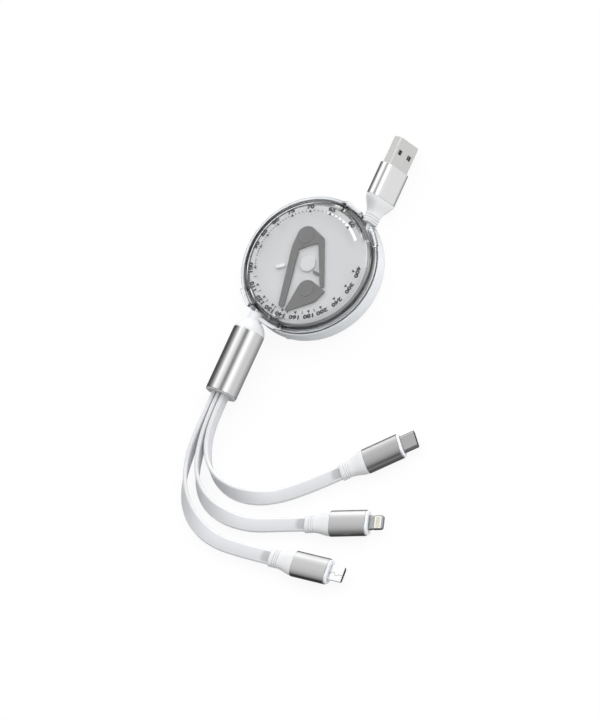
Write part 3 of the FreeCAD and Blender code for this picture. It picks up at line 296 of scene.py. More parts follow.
class ChargeCableStage(bpy.types.PropertyGroup):
    """Camera and floor."""
    azimuth: degrees("Azimuth", "Camera's direction round the reel", 68.7)
    elevation: degrees("Elevation", "Camera's height above the horizon", 58.65)
    roll: degrees("Roll", "Camera's turn about its own axis", -46.96)
    distance: span("Distance", "Camera from the middle of the view", 4000.0)
    view_height: span("View height", "Height of what the camera sees", 311.7)
    shift_right: span("Middle to the right", "Middle of the view from the origin", -7.75)
    shift_up: span("Middle up", "Middle of the view from the origin", -37.45)
    floor_size: span("Floor size", "Side of the floor", 3000.0)


# Mesh work


def deselect():
    """Back to object mode with nothing selected."""
    if bpy.context.mode != "OBJECT":
        bpy.ops.object.mode_set(mode="OBJECT")
    bpy.ops.object.select_all(action="DESELECT")


def take(piece):
    """Make a piece the active object and the only one selected."""
    deselect()
    piece.select_set(True)
    bpy.context.view_layer.objects.active = piece


def settle(name, place=None):
    """Name the active object and move its place into its mesh."""
    piece = bpy.context.active_object
    piece.name = name
    piece.data.name = name
    if place is not None:
        piece.matrix_world = place
    bpy.ops.object.transform_apply(location=True, rotation=True, scale=True)
    return piece


def apply_modifier(piece, kind, **values):
    """Add a modifier with these values and apply it."""
    modifier = piece.modifiers.new(kind.title(), kind)
    for key, value in values.items():
        setattr(modifier, key, value)
    bpy.ops.object.modifier_apply(modifier=modifier.name)


def ring_stack(name, width, thickness, start, rings, crown=0.0):
    """Open skin from one obround ring, extruded along +X; each ring is (place, width, thickness)."""
    points = bpy.context.scene.charge_plugs.ring_points
    deselect()
    bpy.ops.mesh.primitive_circle_add(vertices=points, radius=thickness / 2, location=(start, 0, 0),
                                      rotation=(0, math.pi / 2, 0))
    piece = settle(name)
    bpy.ops.object.mode_set(mode="EDIT")
    ring = bmesh.from_edit_mesh(piece.data)
    for vertex in ring.verts:
        shape_ring_point(vertex, width, thickness, crown)
    bmesh.update_edit_mesh(piece.data)
    bpy.ops.mesh.select_all(action="SELECT")
    here = start
    for place, wide, thick in rings:
        bpy.ops.mesh.extrude_edges_move(TRANSFORM_OT_translate={"value": (place - here, 0, 0)})
        bpy.ops.transform.resize(value=(1, wide / width, thick / thickness), center_override=(place, 0, 0))
        here, width, thickness = place, wide, thick
    return piece


def shape_ring_point(vertex, width, thickness, crown):
    """Move a point of a circle to an obround, or towards a softly crowned oval."""
    across, over = vertex.co.y / (thickness / 2), vertex.co.z / (thickness / 2)
    obround = vertex.co.y + math.copysign((width - thickness) / 2, across)
    oval = math.copysign(abs(across) ** CROWN_POWER, across) * width / 2
    vertex.co.y = obround * (1 - crown) + oval * crown
    vertex.co.z = math.copysign(abs(over) ** (1 - (1 - CROWN_POWER) * crown), over) * thickness / 2


def narrowed(section, step):
    """Width and thickness of a section, each less a step."""
    return section[0] - step, section[1] - step


def close_ends():
    """Cap the last ring, which is selected, and the first."""
    bpy.ops.mesh.edge_face_add()
    bpy.ops.mesh.select_all(action="DESELECT")
    bpy.ops.mesh.select_non_manifold()
    bpy.ops.mesh.edge_face_add()
    outward()


def close_wall():
    """Join the first and last rings into one closed wall."""
    bpy.ops.mesh.select_all(action="DESELECT")
    bpy.ops.mesh.select_non_manifold()
    bpy.ops.mesh.bridge_edge_loops()
    outward()


def outward():
    """Merge doubles, turn faces outward and go back to object mode."""
    bpy.ops.mesh.select_all(action="SELECT")
    bpy.ops.mesh.remove_doubles(threshold=MERGE)
    bpy.ops.mesh.normals_make_consistent(inside=False)
    bpy.ops.object.mode_set(mode="OBJECT")


def smooth(piece, crisp_above):
    """Smooth shading, with edges sharper than an angle left crisp."""
    take(piece)
    bpy.ops.object.shade_smooth_by_angle(angle=crisp_above)


def round_edges(piece, width, segments):
    """Round a piece's sharp edges and shade it, with flats that stay flat beside the rounds."""
    apply_modifier(piece, "BEVEL", width=width, segments=segments, limit_method="ANGLE",
                   angle_limit=ROUND_ABOVE)
    smooth(piece, CRISP)
    apply_modifier(piece, "WEIGHTED_NORMAL", keep_sharp=True)


def mesh_piece(name, mesh):
    """Object made of a bmesh, which is then freed."""
    data = bpy.data.meshes.new(name)
    mesh.to_mesh(data)
    mesh.free()
    piece = bpy.data.objects.new(name, data)
    bpy.context.scene.collection.objects.link(piece)
    return piece


def flat_strip(name, places):
    """Strip of faces along rows of two places, the right-hand one first."""
    mesh = bmesh.new()
    rows = [[mesh.verts.new(place) for place in row] for row in places]
    for row, following in zip(rows, rows[1:]):
        mesh.faces.new((row[0], following[0], following[1], row[1]))
    return mesh_piece(name, mesh)


def ease(share):
    """Smooth step from 0 to 1."""
    share = min(max(share, 0.0), 1.0)
    return share * share * (3 - 2 * share)


# Places and bodies


def tail_place(kind):
    """Frame of a tail plug, +X along the way it points."""
    (x, y), yaw = PLUG_PLACES[kind]
    return Matrix.Translation((x * MM, y * MM, PLUG_HEIGHT)) @ Matrix.Rotation(math.radians(yaw), 4, "Z")


def host_place(roll):
    """Frame of the host plug, +X along the way it points."""
    axes = Matrix(((0, -math.sin(roll), math.cos(roll)), (1, 0, 0), (0, math.cos(roll), math.sin(roll))))
    return Matrix.Translation(HOST_START) @ axes.to_4x4()


def splitter_place():
    """Frame of the splitter, +X away from the reel."""
    axes = Matrix(((0, 1, 0), (-1, 0, 0), (0, 0, 1)))
    return Matrix.Translation(SPLITTER_START) @ axes.to_4x4()


def put_down(piece, place, body, finish, slot, *nodes):
    """Set a finished piece in its place, on its body, with its finish, in place of CAD nodes."""
    take(piece)
    settle(piece.name, place)
    piece.data.materials.clear()
    piece.data.materials.append(finish)
    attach(piece, body)
    if nodes:
        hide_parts(*nodes)


def finish_nodes(**finishes):
    """Give CAD nodes their finishes."""
    for name, finish in finishes.items():
        node = frame["nodes"][name]
        node.data.materials.clear()
        node.data.materials.append(finish)


def finished_copy(node, finish, slot, body):
    """Merged copy of a CAD node with rounded edges, in its place."""
    take(frame["nodes"][node])
    bpy.ops.object.duplicate()
    piece = bpy.context.active_object
    piece.parent = None
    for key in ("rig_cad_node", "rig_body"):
        del piece[key]
    piece.name = node + "_finished"
    bpy.ops.mesh.customdata_custom_splitnormals_clear()
    bpy.ops.object.mode_set(mode="EDIT")
    bpy.ops.mesh.select_all(action="SELECT")
    bpy.ops.mesh.remove_doubles(threshold=MERGE)
    bpy.ops.mesh.dissolve_limited(angle_limit=FLAT_BELOW)
    bpy.ops.object.mode_set(mode="OBJECT")
    round_edges(piece, COPY_EDGES.get(node, COPY_EDGE) * MM, segments=2)
    put_down(piece, None, body, finish, slot, node)


# Shader groups

# Kinds of sockets by how many numbers they hold
SOCKETS = {1: "NodeSocketFloat", 3: "NodeSocketVector", 4: "NodeSocketColor"}


def new_group(name, outputs, **inputs):
    """Shader group with these sockets; gives the group and the nodes of its inputs and outputs."""
    group = bpy.data.node_groups.new(name, "ShaderNodeTree")
    for label, value in inputs.items():
        kind = SOCKETS[1 if isinstance(value, float) else len(value)]
        socket = group.interface.new_socket(label.replace("_", " "), in_out="INPUT", socket_type=kind)
        socket.default_value = value
    for label in outputs:
        kind = SOCKETS[4 if label == "Colour" else 1]
        group.interface.new_socket(label, in_out="OUTPUT", socket_type=kind)
    return group, group.nodes.new("NodeGroupInput"), group.nodes.new("NodeGroupOutput")


def new_nodes(tree, *kinds):
    """New shader nodes of these kinds."""
    return [tree.nodes.new("ShaderNode" + kind) for kind in kinds]


def wire(tree, *links):
    """Link nodes; each link is (node, output, node, input)."""
    for source, output, target, label in links:
        tree.links.new(source.outputs[output], target.inputs[label])


def reckon(tree, operation, first, second, kind="Math"):
    """Output of a math node whose inputs are sockets or plain values."""
    node, = new_nodes(tree, kind)
    node.operation = operation
    for index, value in enumerate((first, second)):
        if isinstance(value, (int, float, Vector)):
            node.inputs[index].default_value = value
        else:
            tree.links.new(value, node.inputs[index])
    return node.outputs["Value"]


def variation_group(name):
    """Slow colour clouds, roughness and fine grain over a piece."""
    group, into, out = new_group(name, ("Colour", "Roughness", "Grain"), Colour=(0.8, 0.8, 0.8, 1.0),
                                 Shade=(0.7, 0.7, 0.7, 1.0), Cloud_scale=60.0, Grain_scale=3000.0,
                                 Smooth=0.3, Rough=0.4)
    where, cloud, grain, mix, rough = new_nodes(group, "TexCoord", "TexNoise", "TexNoise", "Mix", "MapRange")
    mix.data_type = "RGBA"
    wire(group, (where, "Object", cloud, "Vector"), (into, "Cloud scale", cloud, "Scale"),
         (where, "Object", grain, "Vector"), (into, "Grain scale", grain, "Scale"),
         (cloud, "Fac", mix, "Factor"), (into, "Colour", mix, "A"), (into, "Shade", mix, "B"),
         (cloud, "Fac", rough, "Value"), (into, "Smooth", rough, "To Min"), (into, "Rough", rough, "To Max"),
         (mix, "Result", out, "Colour"), (rough, "Result", out, "Roughness"), (grain, "Fac", out, "Grain"))
    return group


def near_group(name):
    """A painted shadow: a second, darker colour close to a place, which fades into the first."""
    group, into, out = new_group(name, ("Colour",), Colour=(1.0, 1.0, 1.0, 1.0), Close=(0.5, 0.5, 0.5, 1.0),
                                 Place=(0.0, 0.0, 0.0), From=TAIL_SHADE_FROM, Until=TAIL_SHADE_UNTIL)
    where, fade, mix = new_nodes(group, "TexCoord", "MapRange", "Mix")
    mix.data_type = "RGBA"
    gap = reckon(group, "DISTANCE", where.outputs["Object"], into.outputs["Place"], "VectorMath")
    group.links.new(gap, fade.inputs["Value"])
    wire(group, (into, "From", fade, "From Min"), (into, "Until", fade, "From Max"),
         (fade, "Result", mix, "Factor"), (into, "Close", mix, "A"), (into, "Colour", mix, "B"),
         (mix, "Result", out, "Colour"))
    return group


def ring_group(name):
    """A second colour in a ring of the reel, which paints shade there, and Solid, which is 0 low in that
    ring near the mouths.
    """
    group, into, out = new_group(name, ("Colour", "Solid"), Colour=(1.0, 1.0, 1.0, 1.0),
                                 Ring=(0.1, 0.1, 0.1, 1.0), Inner=27.0 * MM, Outer=30.0 * MM, Above=0.0,
                                 Below=12.0 * MM, Mouth_reach=0.0, Mouth_top=11.0 * MM)
    where, split, mix = new_nodes(group, "TexCoord", "SeparateXYZ", "Mix")
    flat, length = new_nodes(group, "VectorMath", "VectorMath")
    flat.operation = "MULTIPLY"
    flat.inputs[1].default_value = (1, 1, 0)
    length.operation = "LENGTH"
    mix.data_type = "RGBA"
    wire(group, (where, "Object", flat, 0), (where, "Object", split, "Vector"), (flat, "Vector", length, 0),
         (into, "Colour", mix, "A"), (into, "Ring", mix, "B"), (mix, "Result", out, "Colour"))
    radius, height = length.outputs["Value"], split.outputs["Z"]

    def within(value, low, high):
        return reckon(group, "MULTIPLY", reckon(group, "GREATER_THAN", value, into.outputs[low]),
                      reckon(group, "LESS_THAN", value, into.outputs[high]))

    wide, high = within(radius, "Inner", "Outer"), within(height, "Above", "Below")
    near = 0.0
    for mouth in MOUTHS:
        gap = reckon(group, "DISTANCE", where.outputs["Object"], mouth, "VectorMath")
        near = reckon(group, "MAXIMUM", near, reckon(group, "LESS_THAN", gap, into.outputs["Mouth reach"]))
    low = reckon(group, "MULTIPLY", wide, reckon(group, "LESS_THAN", height, into.outputs["Mouth top"]))
    ring = reckon(group, "MULTIPLY", wide, reckon(group, "MAXIMUM", high, near))
    solid = reckon(group, "SUBTRACT", 1.0, reckon(group, "MULTIPLY", low, near))
    group.links.new(ring, mix.inputs["Factor"])
    group.links.new(solid, out.inputs["Solid"])
    return group


# Finishes


def colours():
    """Colours that a user would change."""
    return bpy.context.scene.charge_finishes


def shaded(rgb, share):
    """A colour darkened to a share, with its alpha."""
    return (rgb[0] * share, rgb[1] * share, rgb[2] * share, 1.0)


def set_sockets(node, **values):
    """Put values on a node's inputs, named with _ for a space."""
    for label, value in values.items():
        node.inputs[label.replace("_", " ")].default_value = value


def group_node(tree, name, build, **values):
    """Node of a shared group, which is built once, with these values on its inputs."""
    node, = new_nodes(tree, "Group")
    node.node_tree = bpy.data.node_groups.get(name) or build(name)
    set_sockets(node, **values)
    return node


def new_finish(name):
    """New material with its tree and its shader, which is linked to the output."""
    finish = bpy.data.materials.new(name)
    finish.use_nodes = True
    tree = finish.node_tree
    return finish, tree, tree.nodes["Principled BSDF"]


def mix_shaders(tree, share, first, second):
    """Output of a finish: the first shader, or by a share the second."""
    mix, = new_nodes(tree, "MixShader")
    tree.links.new(share, mix.inputs["Fac"])
    tree.links.new(first, mix.inputs[1])
    tree.links.new(second, mix.inputs[2])
    tree.links.new(mix.outputs["Shader"], tree.nodes["Material Output"].inputs["Surface"])


def moulded(name, rgb, rough, bump=0.05, shade=0.94, cloud=60.0, **sockets):
    """Plastic, rubber or metal with clouds and grain; rough is the lowest and highest roughness."""
    finish = bpy.data.materials.get(name)
    if finish:
        return finish
    finish, tree, shader = new_finish(name)
    varied = group_node(tree, "Moulded variation", variation_group, Colour=(*rgb, 1),
                        Shade=shaded(rgb, shade), Cloud_scale=cloud, Smooth=rough[0], Rough=rough[1])
    raised, = new_nodes(tree, "Bump")
    set_sockets(raised, Strength=bump, Distance=GRAIN_HEIGHT)
    wire(tree, (varied, "Colour", shader, "Base Color"), (varied, "Roughness", shader, "Roughness"),
         (varied, "Grain", raised, "Height"), (raised, "Normal", shader, "Normal"))
    set_sockets(shader, **sockets)
    return finish


def recoloured(finish, name, build, **values):
    """A moulded finish whose colour goes through one more shared group."""
    tree = finish.node_tree
    base = tree.nodes["Principled BSDF"].inputs["Base Color"]
    node = group_node(tree, name, build, **values)
    tree.links.new(base.links[0].from_socket, node.inputs["Colour"])
    tree.links.new(node.outputs["Colour"], base)
    return finish


def soft_white():
    return moulded("soft white", colours().soft_white, rough=(0.42, 0.55), bump=0.12, cloud=90.0)


def cord_white(name="cord white"):
    return moulded(name, colours().cord_white, rough=(0.38, 0.5), bump=0.1, shade=0.96)


def tail_white(kind):
    """Cord white with a painted shadow, darker close to the tail's boot."""
    return recoloured(cord_white(kind + " tail white painted shadow"), "Painted shadow near a place", near_group,
                      Close=shaded(colours().cord_white, TAIL_SHADE), Place=tail_place(kind).translation)


def core_white():
    return moulded("core white", colours().case_white, rough=(0.2, 0.3))


def shell_white():
    """Case white outside, with painted shade inside the case: near black where it is seen through the cover,
    for the shadowed gap round the dial.
    """
    finish = moulded("shell white painted shade", colours().case_white, rough=(0.16, 0.24), Coat_Weight=0.3)
    return recoloured(finish, "Painted shade ring of the reel", ring_group, Ring=(0.055, 0.055, 0.055, 1), Inner=4.0 * MM,
                      Outer=30.5 * MM, Above=1.6 * MM, Below=20.0 * MM)


def clear_cover():
    """Clear plastic with a ring of painted shade round the dial, for the dark gap seen through it, that lets
    light through to the dial.
    """
    finish, tree, shader = new_finish("clear cover")
    ring = group_node(tree, "Painted shade ring of the reel", ring_group, Colour=(0.97, 0.975, 0.98, 1),
                      Ring=(0.14, 0.14, 0.14, 1), Inner=27.5 * MM, Outer=30.3 * MM, Above=0.0,
                      Below=12.2 * MM, Mouth_reach=9.5 * MM, Mouth_top=11.3 * MM)
    set_sockets(shader, Roughness=0.02, IOR=1.5, Transmission_Weight=1.0)
    wire(tree, (ring, "Colour", shader, "Base Color"), (ring, "Solid", shader, "Alpha"))
    path, through = new_nodes(tree, "LightPath", "BsdfTransparent")
    either = reckon(tree, "MAXIMUM", path.outputs["Is Shadow Ray"], path.outputs["Is Diffuse Ray"])
    mix_shaders(tree, either, shader.outputs["BSDF"], through.outputs["BSDF"])
    return finish


# Dial grey with large clouds lighter than the grey: partly the plate's own uneven tone, partly a painted
# reflection of the lens's cloudy sheen
def dial_grey():
    return moulded("dial grey", colours().dial_grey, rough=(0.35, 0.5), shade=1.12, cloud=25.0)


def plate_grey():
    return moulded("plate grey", colours().plate_grey, rough=(0.4, 0.5))


def pale_grey():
    return moulded("pale grey", colours().pale_grey, rough=(0.3, 0.4))


def pawl_white():
    return moulded("pawl white", (0.68, 0.685, 0.69), rough=(0.3, 0.4))


def ink():
    return moulded("ink", colours().ink, rough=(0.4, 0.55))


def white_ink():
    return moulded("arc white", (0.9, 0.9, 0.9), rough=(0.4, 0.55))


def dark_insert():
    return moulded("dark insert", (0.02, 0.02, 0.02), rough=(0.35, 0.5))


def board_green():
    return moulded("board green", (0.02, 0.12, 0.05), rough=(0.35, 0.5))


def metal(name, rgb, rough):
    """Bare or plated metal."""
    return moulded(name, rgb, rough, Metallic=1.0)


def host_metal():
    return metal("host sleeve metal", (0.8, 0.8, 0.8), rough=(0.2, 0.28))


def host_shell_metal():
    return metal("host shell metal", (0.68, 0.68, 0.67), rough=(0.58, 0.66))


def splitter_metal():
    return metal("splitter metal", (0.64, 0.64, 0.645), rough=(0.16, 0.24))


# One sleeve metal in lit and shaded copies, one per tail plug, by its painted grey
def tail_metal(kind):
    return metal(kind + " sleeve metal", [SLEEVE_PAINTED_GREYS[kind]] * 3, rough=(0.24, 0.32))


def plug_metal():
    return metal("plug metal", (0.31, 0.31, 0.31), rough=(0.22, 0.32))


def bright_metal():
    return metal("bright metal", (0.72, 0.72, 0.72), rough=(0.22, 0.32))


def contact_gold():
    return metal("contact gold", colours().contact_gold, rough=(0.2, 0.3))


def dark_screw():
    return metal("dark screw", (0.05, 0.05, 0.05), rough=(0.3, 0.45))


def spring_steel():
    return metal("spring steel", (0.35, 0.37, 0.4), rough=(0.25, 0.4))


# Cords


def route_line(name, points):
    """Points along a smooth line with these control points, and the distance to each."""
    curve = bpy.data.curves.new(name, "CURVE")
    curve.dimensions = "3D"
    curve.resolution_u = ROUTE_POINTS
    spline = curve.splines.new("NURBS")
    spline.points.add(len(points) - 1)
    for knot, point in zip(spline.points, points):
        knot.co = (*point, 1)
    spline.order_u = 3
    spline.use_endpoint_u = True
    holder = bpy.data.objects.new(name, curve)
    bpy.context.scene.collection.objects.link(holder)
    line = bpy.data.meshes.new_from_object(holder)
    places = [vertex.co.copy() for vertex in line.vertices]
    bpy.data.objects.remove(holder)
    bpy.data.curves.remove(curve)
    bpy.data.meshes.remove(line)
    gone = [0.0]
    for a, b in zip(places, places[1:]):
        gone.append(gone[-1] + (b - a).length)
    return places, gone


def flat_section(width, thickness):
    """Flat cord's section, with round edges, as (across, over)."""
    radius = thickness / 2
    reach = width / 2 - radius
    section = []
    for side in (1, -1):
        for step in range(EDGE_POINTS):
            angle = side * math.pi / 2 - math.pi * step / (EDGE_POINTS - 1)
            section.append((reach * side + radius * math.cos(angle), radius * math.sin(angle)))
    return section


def ribbon(name, points, width, thickness, roll_at):
    """Flat cord along a route, rolled along the way; gives the piece and the line it follows."""
    places, gone = route_line(name, points)
    section = flat_section(width, thickness)
    mesh = bmesh.new()
    rings = []
    for index, place in enumerate(places):
        before, after = places[max(index - 1, 0)], places[min(index + 1, len(places) - 1)]
        way = (after - before).normalized()
        side = Vector((0, 0, 1)).cross(way).normalized()
        across = Matrix.Rotation(roll_at(gone[index] / gone[-1]), 3, way) @ side
        over = way.cross(across)
        rings.append([mesh.verts.new(place + across * a + over * b) for a, b in section])
    for ring, following in zip(rings, rings[1:]):
        for a, b in zip(range(len(section)), [*range(1, len(section)), 0]):
            mesh.faces.new((ring[a], ring[b], following[b], following[a]))
    mesh.faces.new(rings[0])
    mesh.faces.new(rings[-1])
    bmesh.ops.recalc_face_normals(mesh, faces=mesh.faces)
    piece = mesh_piece(name, mesh)
    smooth(piece, SOFT_CRISP)
    return piece, places


def lighten_edges(piece):
    """Paint light on a flat cord's round edges: they take the lighter white of the boots in place of the
    cord's.
    """
    piece.data.materials.append(soft_white())
    for face in piece.data.polygons:
        face.material_index = int(face.index % EDGE_POINTS != EDGE_POINTS - 1)


class CHARGECABLE_OT_tails(bpy.types.Operator):
    """Three flat tails from the splitter to their plugs"""
    bl_idname = "charge_cable.tails"
    bl_label = "Tails"

    def execute(self, context):
        sizes = context.scene.charge_cords

        def roll_at(share):
            t = ease((share - sizes.edge_until) / (sizes.flat_from - sizes.edge_until))
            return math.pi / 2 * (1 - t)

        for kind, middle in TAIL_ROUTES.items():
            row = SPLITTER_START.x + TAIL_ROW[kind] * sizes.tail_pitch
            start = Vector((row, SPLITTER_FACE, SPLITTER_START.z))
            place = tail_place(kind)
            route = [start, start - Vector((0, TAIL_FIRST_RUN, 0))]
            route += [Vector(point) * MM for point in middle]
            route += [place @ Vector((-TAIL_LAST_RUN, 0, 0)), place.translation]
            piece, line = ribbon(kind + "_cord", route, sizes.tail_width, sizes.tail_thickness, roll_at)
            put_down(piece, None, SPLITTER, tail_white(kind), "white_cable", kind + "_tail")
            lighten_edges(piece)
        return {"FINISHED"}


class CHARGECABLE_OT_leads(bpy.types.Operator):
    """Flat leads between the reel and its two ends"""
    bl_idname = "charge_cable.leads"
    bl_label = "Leads"

    def execute(self, context):
        sizes = context.scene.charge_cords
        for (node, route), body in zip(LEAD_ROUTES.items(), (HOST, SPLITTER)):
            points = [Vector(point) * MM for point in route]
            piece, _ = ribbon(node + "_strip", points, sizes.lead_width, sizes.lead_thickness,
                              lambda share: math.pi / 2)
            piece.data.materials.append(cord_white())
            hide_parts(node)
            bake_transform(piece)
        return {"FINISHED"}


# Plugs


def boot_rings(neck, end, length, grooves):
    """Rings of a boot from its flared end back to its neck."""
    section, neck_length = neck[:2], neck[2]
    rings = [(length, *end)]
    for step in range(1, FLARE_RINGS + 1):
        share = 1 - step / FLARE_RINGS
        rise = ease(share)
        rings.append((neck_length + (length - neck_length) * share,
                      *(thin + (full - thin) * rise for thin, full in zip(section, end))))
    narrow = narrowed(section, 2 * bpy.context.scene.charge_plugs.rib_depth)
    first, pitch, groove = grooves
    for index in reversed(range(GROOVE_COUNT)):
        low = first + index * pitch
        for share, outline in ((1.0, section), (0.75, narrow), (0.25, narrow), (0.0, section)):
            rings.append((low + groove * share, *outline))
    rings.append((NECK_CHAMFER[0], *section))
    rings.append((0.0, *narrowed(section, NECK_CHAMFER[1])))
    return rings


def soft_solid(name, inside, length, rings, crown=0.0):
    """Closed soft piece: a spigot that stands in a sleeve, and then these rings."""
    piece = ring_stack(name, *inside, length + SPIGOT_LENGTH, [(length, *inside), *rings], crown)
    close_ends()
    smooth(piece, SOFT_CRISP)
    return piece


def make_boot(name, sleeve, length, neck, grooves, crown=0.0):
    """Soft boot that flares from its grooved neck to a sleeve's width and thickness."""
    rings = boot_rings(neck, narrowed(sleeve, FLARE_STEP), length, grooves)
    return soft_solid(name, narrowed(sleeve, SPIGOT_STEP), length, rings, crown)


def make_cap(name, sleeve, length):
    """Soft cap that rises in a dome from its neck to a round sleeve."""
    rim = sleeve[0] - FLARE_STEP
    rings = [(length, rim, rim)]
    for step in range(1, CAP_RINGS + 1):
        share = 1 - step / CAP_RINGS
        across = CAP_NECK + (rim - CAP_NECK) * (1 - (1 - share) ** 2)
        rings.append((CAP_NECK_LENGTH + (length - CAP_NECK_LENGTH) * share, across, across))
    rings.append((0.0, CAP_NECK, CAP_NECK))
    return soft_solid(name, narrowed(sleeve, CAP_SPIGOT_STEP), length, rings)


def make_sleeve(name, sleeve, start, end, crown=0.0):
    """Metal sleeve of this width and thickness, with rounded ends."""
    sizes = bpy.context.scene.charge_plugs
    inner = narrowed(sleeve, 2 * sizes.wall)
    piece = ring_stack(name, *sleeve, start, [(end, *sleeve), (end, *inner), (start, *inner)], crown)
    close_wall()
    round_edges(piece, sizes.edge, segments=3)
    return piece


def shell_seam(name, corners, start):
    """Thin line of a folded shell's seam, on the shell's top; corners in mm from the sleeve's end."""
    top = bpy.context.scene.charge_plugs.seam_height
    rows = []
    for index, (x, y) in enumerate(corners):
        before, after = corners[max(index - 1, 0)], corners[min(index + 1, len(corners) - 1)]
        across = Vector((before[1] - after[1], after[0] - before[0], 0)).normalized() * SEAM_HALF
        middle = Vector((start + x * MM, y * MM, top))
        rows.append((middle - across, middle + across))
    return flat_strip(name, rows)


class CHARGECABLE_OT_host_plug(bpy.types.Operator):
    """Host plug: boot, sleeve, shell, tongue and contacts"""
    bl_idname = "charge_cable.host_plug"
    bl_label = "Host plug"

    def execute(self, context):
        sizes = context.scene.charge_plugs
        place = host_place(sizes.host_roll)
        section = (sizes.host_width, sizes.host_thickness)
        start, end = sizes.host_boot, sizes.host_boot + sizes.host_length
        boot = make_boot("host_boot_soft", section, start, HOST_NECK, HOST_GROOVES)
        put_down(boot, place, HOST, soft_white(), "white_boot", "host_boot")
        sleeve = make_sleeve("host_sleeve_metal", section, start, end)
        put_down(sleeve, place, HOST, host_metal(), "satin_sleeve", "host_sleeve")
        finished_copy("host_shell", host_shell_metal(), "plug_steel", HOST)
        finish_nodes(host_core=core_white(), host_tongue=core_white(), host_contacts=contact_gold())
        return {"FINISHED"}


class CHARGECABLE_OT_splitter(bpy.types.Operator):
    """Splitter: domed cap, metal sleeve and end"""
    bl_idname = "charge_cable.splitter"
    bl_label = "Splitter"

    def execute(self, context):
        sizes = context.scene.charge_plugs
        place = splitter_place()
        section = (2 * sizes.splitter_radius, 2 * sizes.splitter_radius)
        start, end = sizes.splitter_cap, sizes.splitter_cap + sizes.splitter_length
        cap = make_cap("splitter_cap_soft", section, start)
        put_down(cap, place, SPLITTER, soft_white(), "white_boot", "splitter_cap")
        sleeve = make_sleeve("splitter_sleeve_metal", section, start, end)
        put_down(sleeve, place, SPLITTER, splitter_metal(), "satin_sleeve", "splitter_sleeve")
        finished_copy("splitter_end", pale_grey(), "white_core", SPLITTER)
        finish_nodes(splice_board=board_green())
        return {"FINISHED"}


class CHARGECABLE_OT_tail_plugs(bpy.types.Operator):
    """Boots, sleeves and metal plugs on the tails"""
    bl_idname = "charge_cable.tail_plugs"
    bl_label = "Tail plugs"

    def execute(self, context):
        sizes = context.scene.charge_plugs
        section = (sizes.sleeve_width, sizes.sleeve_thickness)
        start, end = sizes.boot_length, sizes.boot_length + sizes.sleeve_length
        for kind in PLUG_PLACES:
            place = tail_place(kind)
            boot = make_boot(kind + "_boot_soft", section, start, TAIL_NECK, TAIL_GROOVES, crown=1.0)
            put_down(boot, place, SPLITTER, soft_white(), "white_boot", kind + "_boot")
            sleeve = make_sleeve(kind + "_sleeve_metal", section, start, end, crown=1.0)
            put_down(sleeve, place, SPLITTER, tail_metal(kind), "satin_sleeve", kind + "_sleeve")
            finished_copy(kind + "_core", core_white(), "white_core", SPLITTER)
            finish_nodes(**{kind + "_contacts": contact_gold()})
        finished_copy("type_c_shell", plug_metal(), "plug_steel", SPLITTER)
        finished_copy("tab_blade", plug_metal(), "plug_steel", SPLITTER)
        finished_copy("micro_shell", bright_metal(), "plug_steel", SPLITTER)
        seam = shell_seam("micro_seam", MICRO_SEAM, end)
        put_down(seam, tail_place("micro"), SPLITTER, dark_insert(), "dark_insert")
        finish_nodes(type_c_insert=dark_insert(), tab_insert=core_white(), micro_tongue=dark_insert())
        return {"FINISHED"}


# Reel


class CHARGECABLE_OT_reel(bpy.types.Operator):
    """Case, dial and works of the reel"""
    bl_idname = "charge_cable.reel"
    bl_label = "Reel"

    def execute(self, context):
        finish_nodes(back_shell=shell_white(), front_cover=clear_cover(), case_screws=dark_screw(),
                     hub_cap=pale_grey(), spool=core_white(), dial_plate=dial_grey(),
                     wound_cable=cord_white(), power_spring=spring_steel(), lock_ball=spring_steel())
        finished_copy("dial_lever", plate_grey(), "plate_grey", SPOOL)
        finished_copy("dial_cam", plate_grey(), "plate_grey", SPOOL)
        finished_copy("dial_pawl", pawl_white(), "pale_plate", SPOOL)
        return {"FINISHED"}


def scale_place(number, radius, height):
    """Frame on a circle of the scale at a number's direction, +Y outwards."""
    lead = math.radians(SCALE_LEADS.get(number, 0.0))
    angle = bpy.context.scene.charge_reel.scale_top - math.tau * FULL_TURN / number + lead
    return Matrix.Rotation(angle - math.pi / 2, 4, "Z") @ Matrix.Translation((0, radius, height))


def joined(pieces, name):
    """One object from several."""
    deselect()
    for piece in pieces:
        piece.select_set(True)
    bpy.context.view_layer.objects.active = pieces[0]
    bpy.ops.object.join()
    return settle(name)


def printed(label, size, place, thickness):
    """A number as thin print, in its place."""
    deselect()
    bpy.ops.object.text_add()
    text = bpy.context.active_object.data
    text.body = label
    text.size = size
    text.align_x = "CENTER"
    text.align_y = "CENTER"
    text.space_character = NUMBER_SPACING
    text.bevel_depth = size * NUMBER_GROWTH
    text.bevel_resolution = 0
    bpy.ops.object.convert(target="MESH")
    piece = bpy.context.active_object
    piece.scale.z = thickness / piece.dimensions.z
    bpy.ops.object.transform_apply(location=False, rotation=False, scale=True)
    return settle("number_" + label, place)


def mark(width, length, tip, place, thickness):
    """A tick, or a triangle where its outer end closes to a tip."""
    deselect()
    bpy.ops.mesh.primitive_cube_add(size=1)
    piece = bpy.context.active_object
    for vertex in piece.data.vertices:
        taper = tip if vertex.co.y > 0 else 1.0
        vertex.co = Vector((vertex.co.x * width * taper, vertex.co.y * length, vertex.co.z * thickness))
    return settle("mark", place)


def printed_arc(name, sizes, height):
    """White arc just under the marks that widens as it goes round."""
    inner = sizes.mark_radius - ARC_INSET
    rise = Vector((0, 0, height - sizes.ink_thickness / 3))
    rows = []
    for step in range(ARC_STEPS + 1):
        share = step / ARC_STEPS
        angle = ARC_FROM + (ARC_UNTIL - ARC_FROM) * share
        way = Vector((math.cos(angle), math.sin(angle), 0))
        outer = inner + (ARC_WIDTH + ARC_GROWTH * share) * MM
        rows.append((way * inner + rise, way * outer + rise))
    return flat_strip(name, rows)


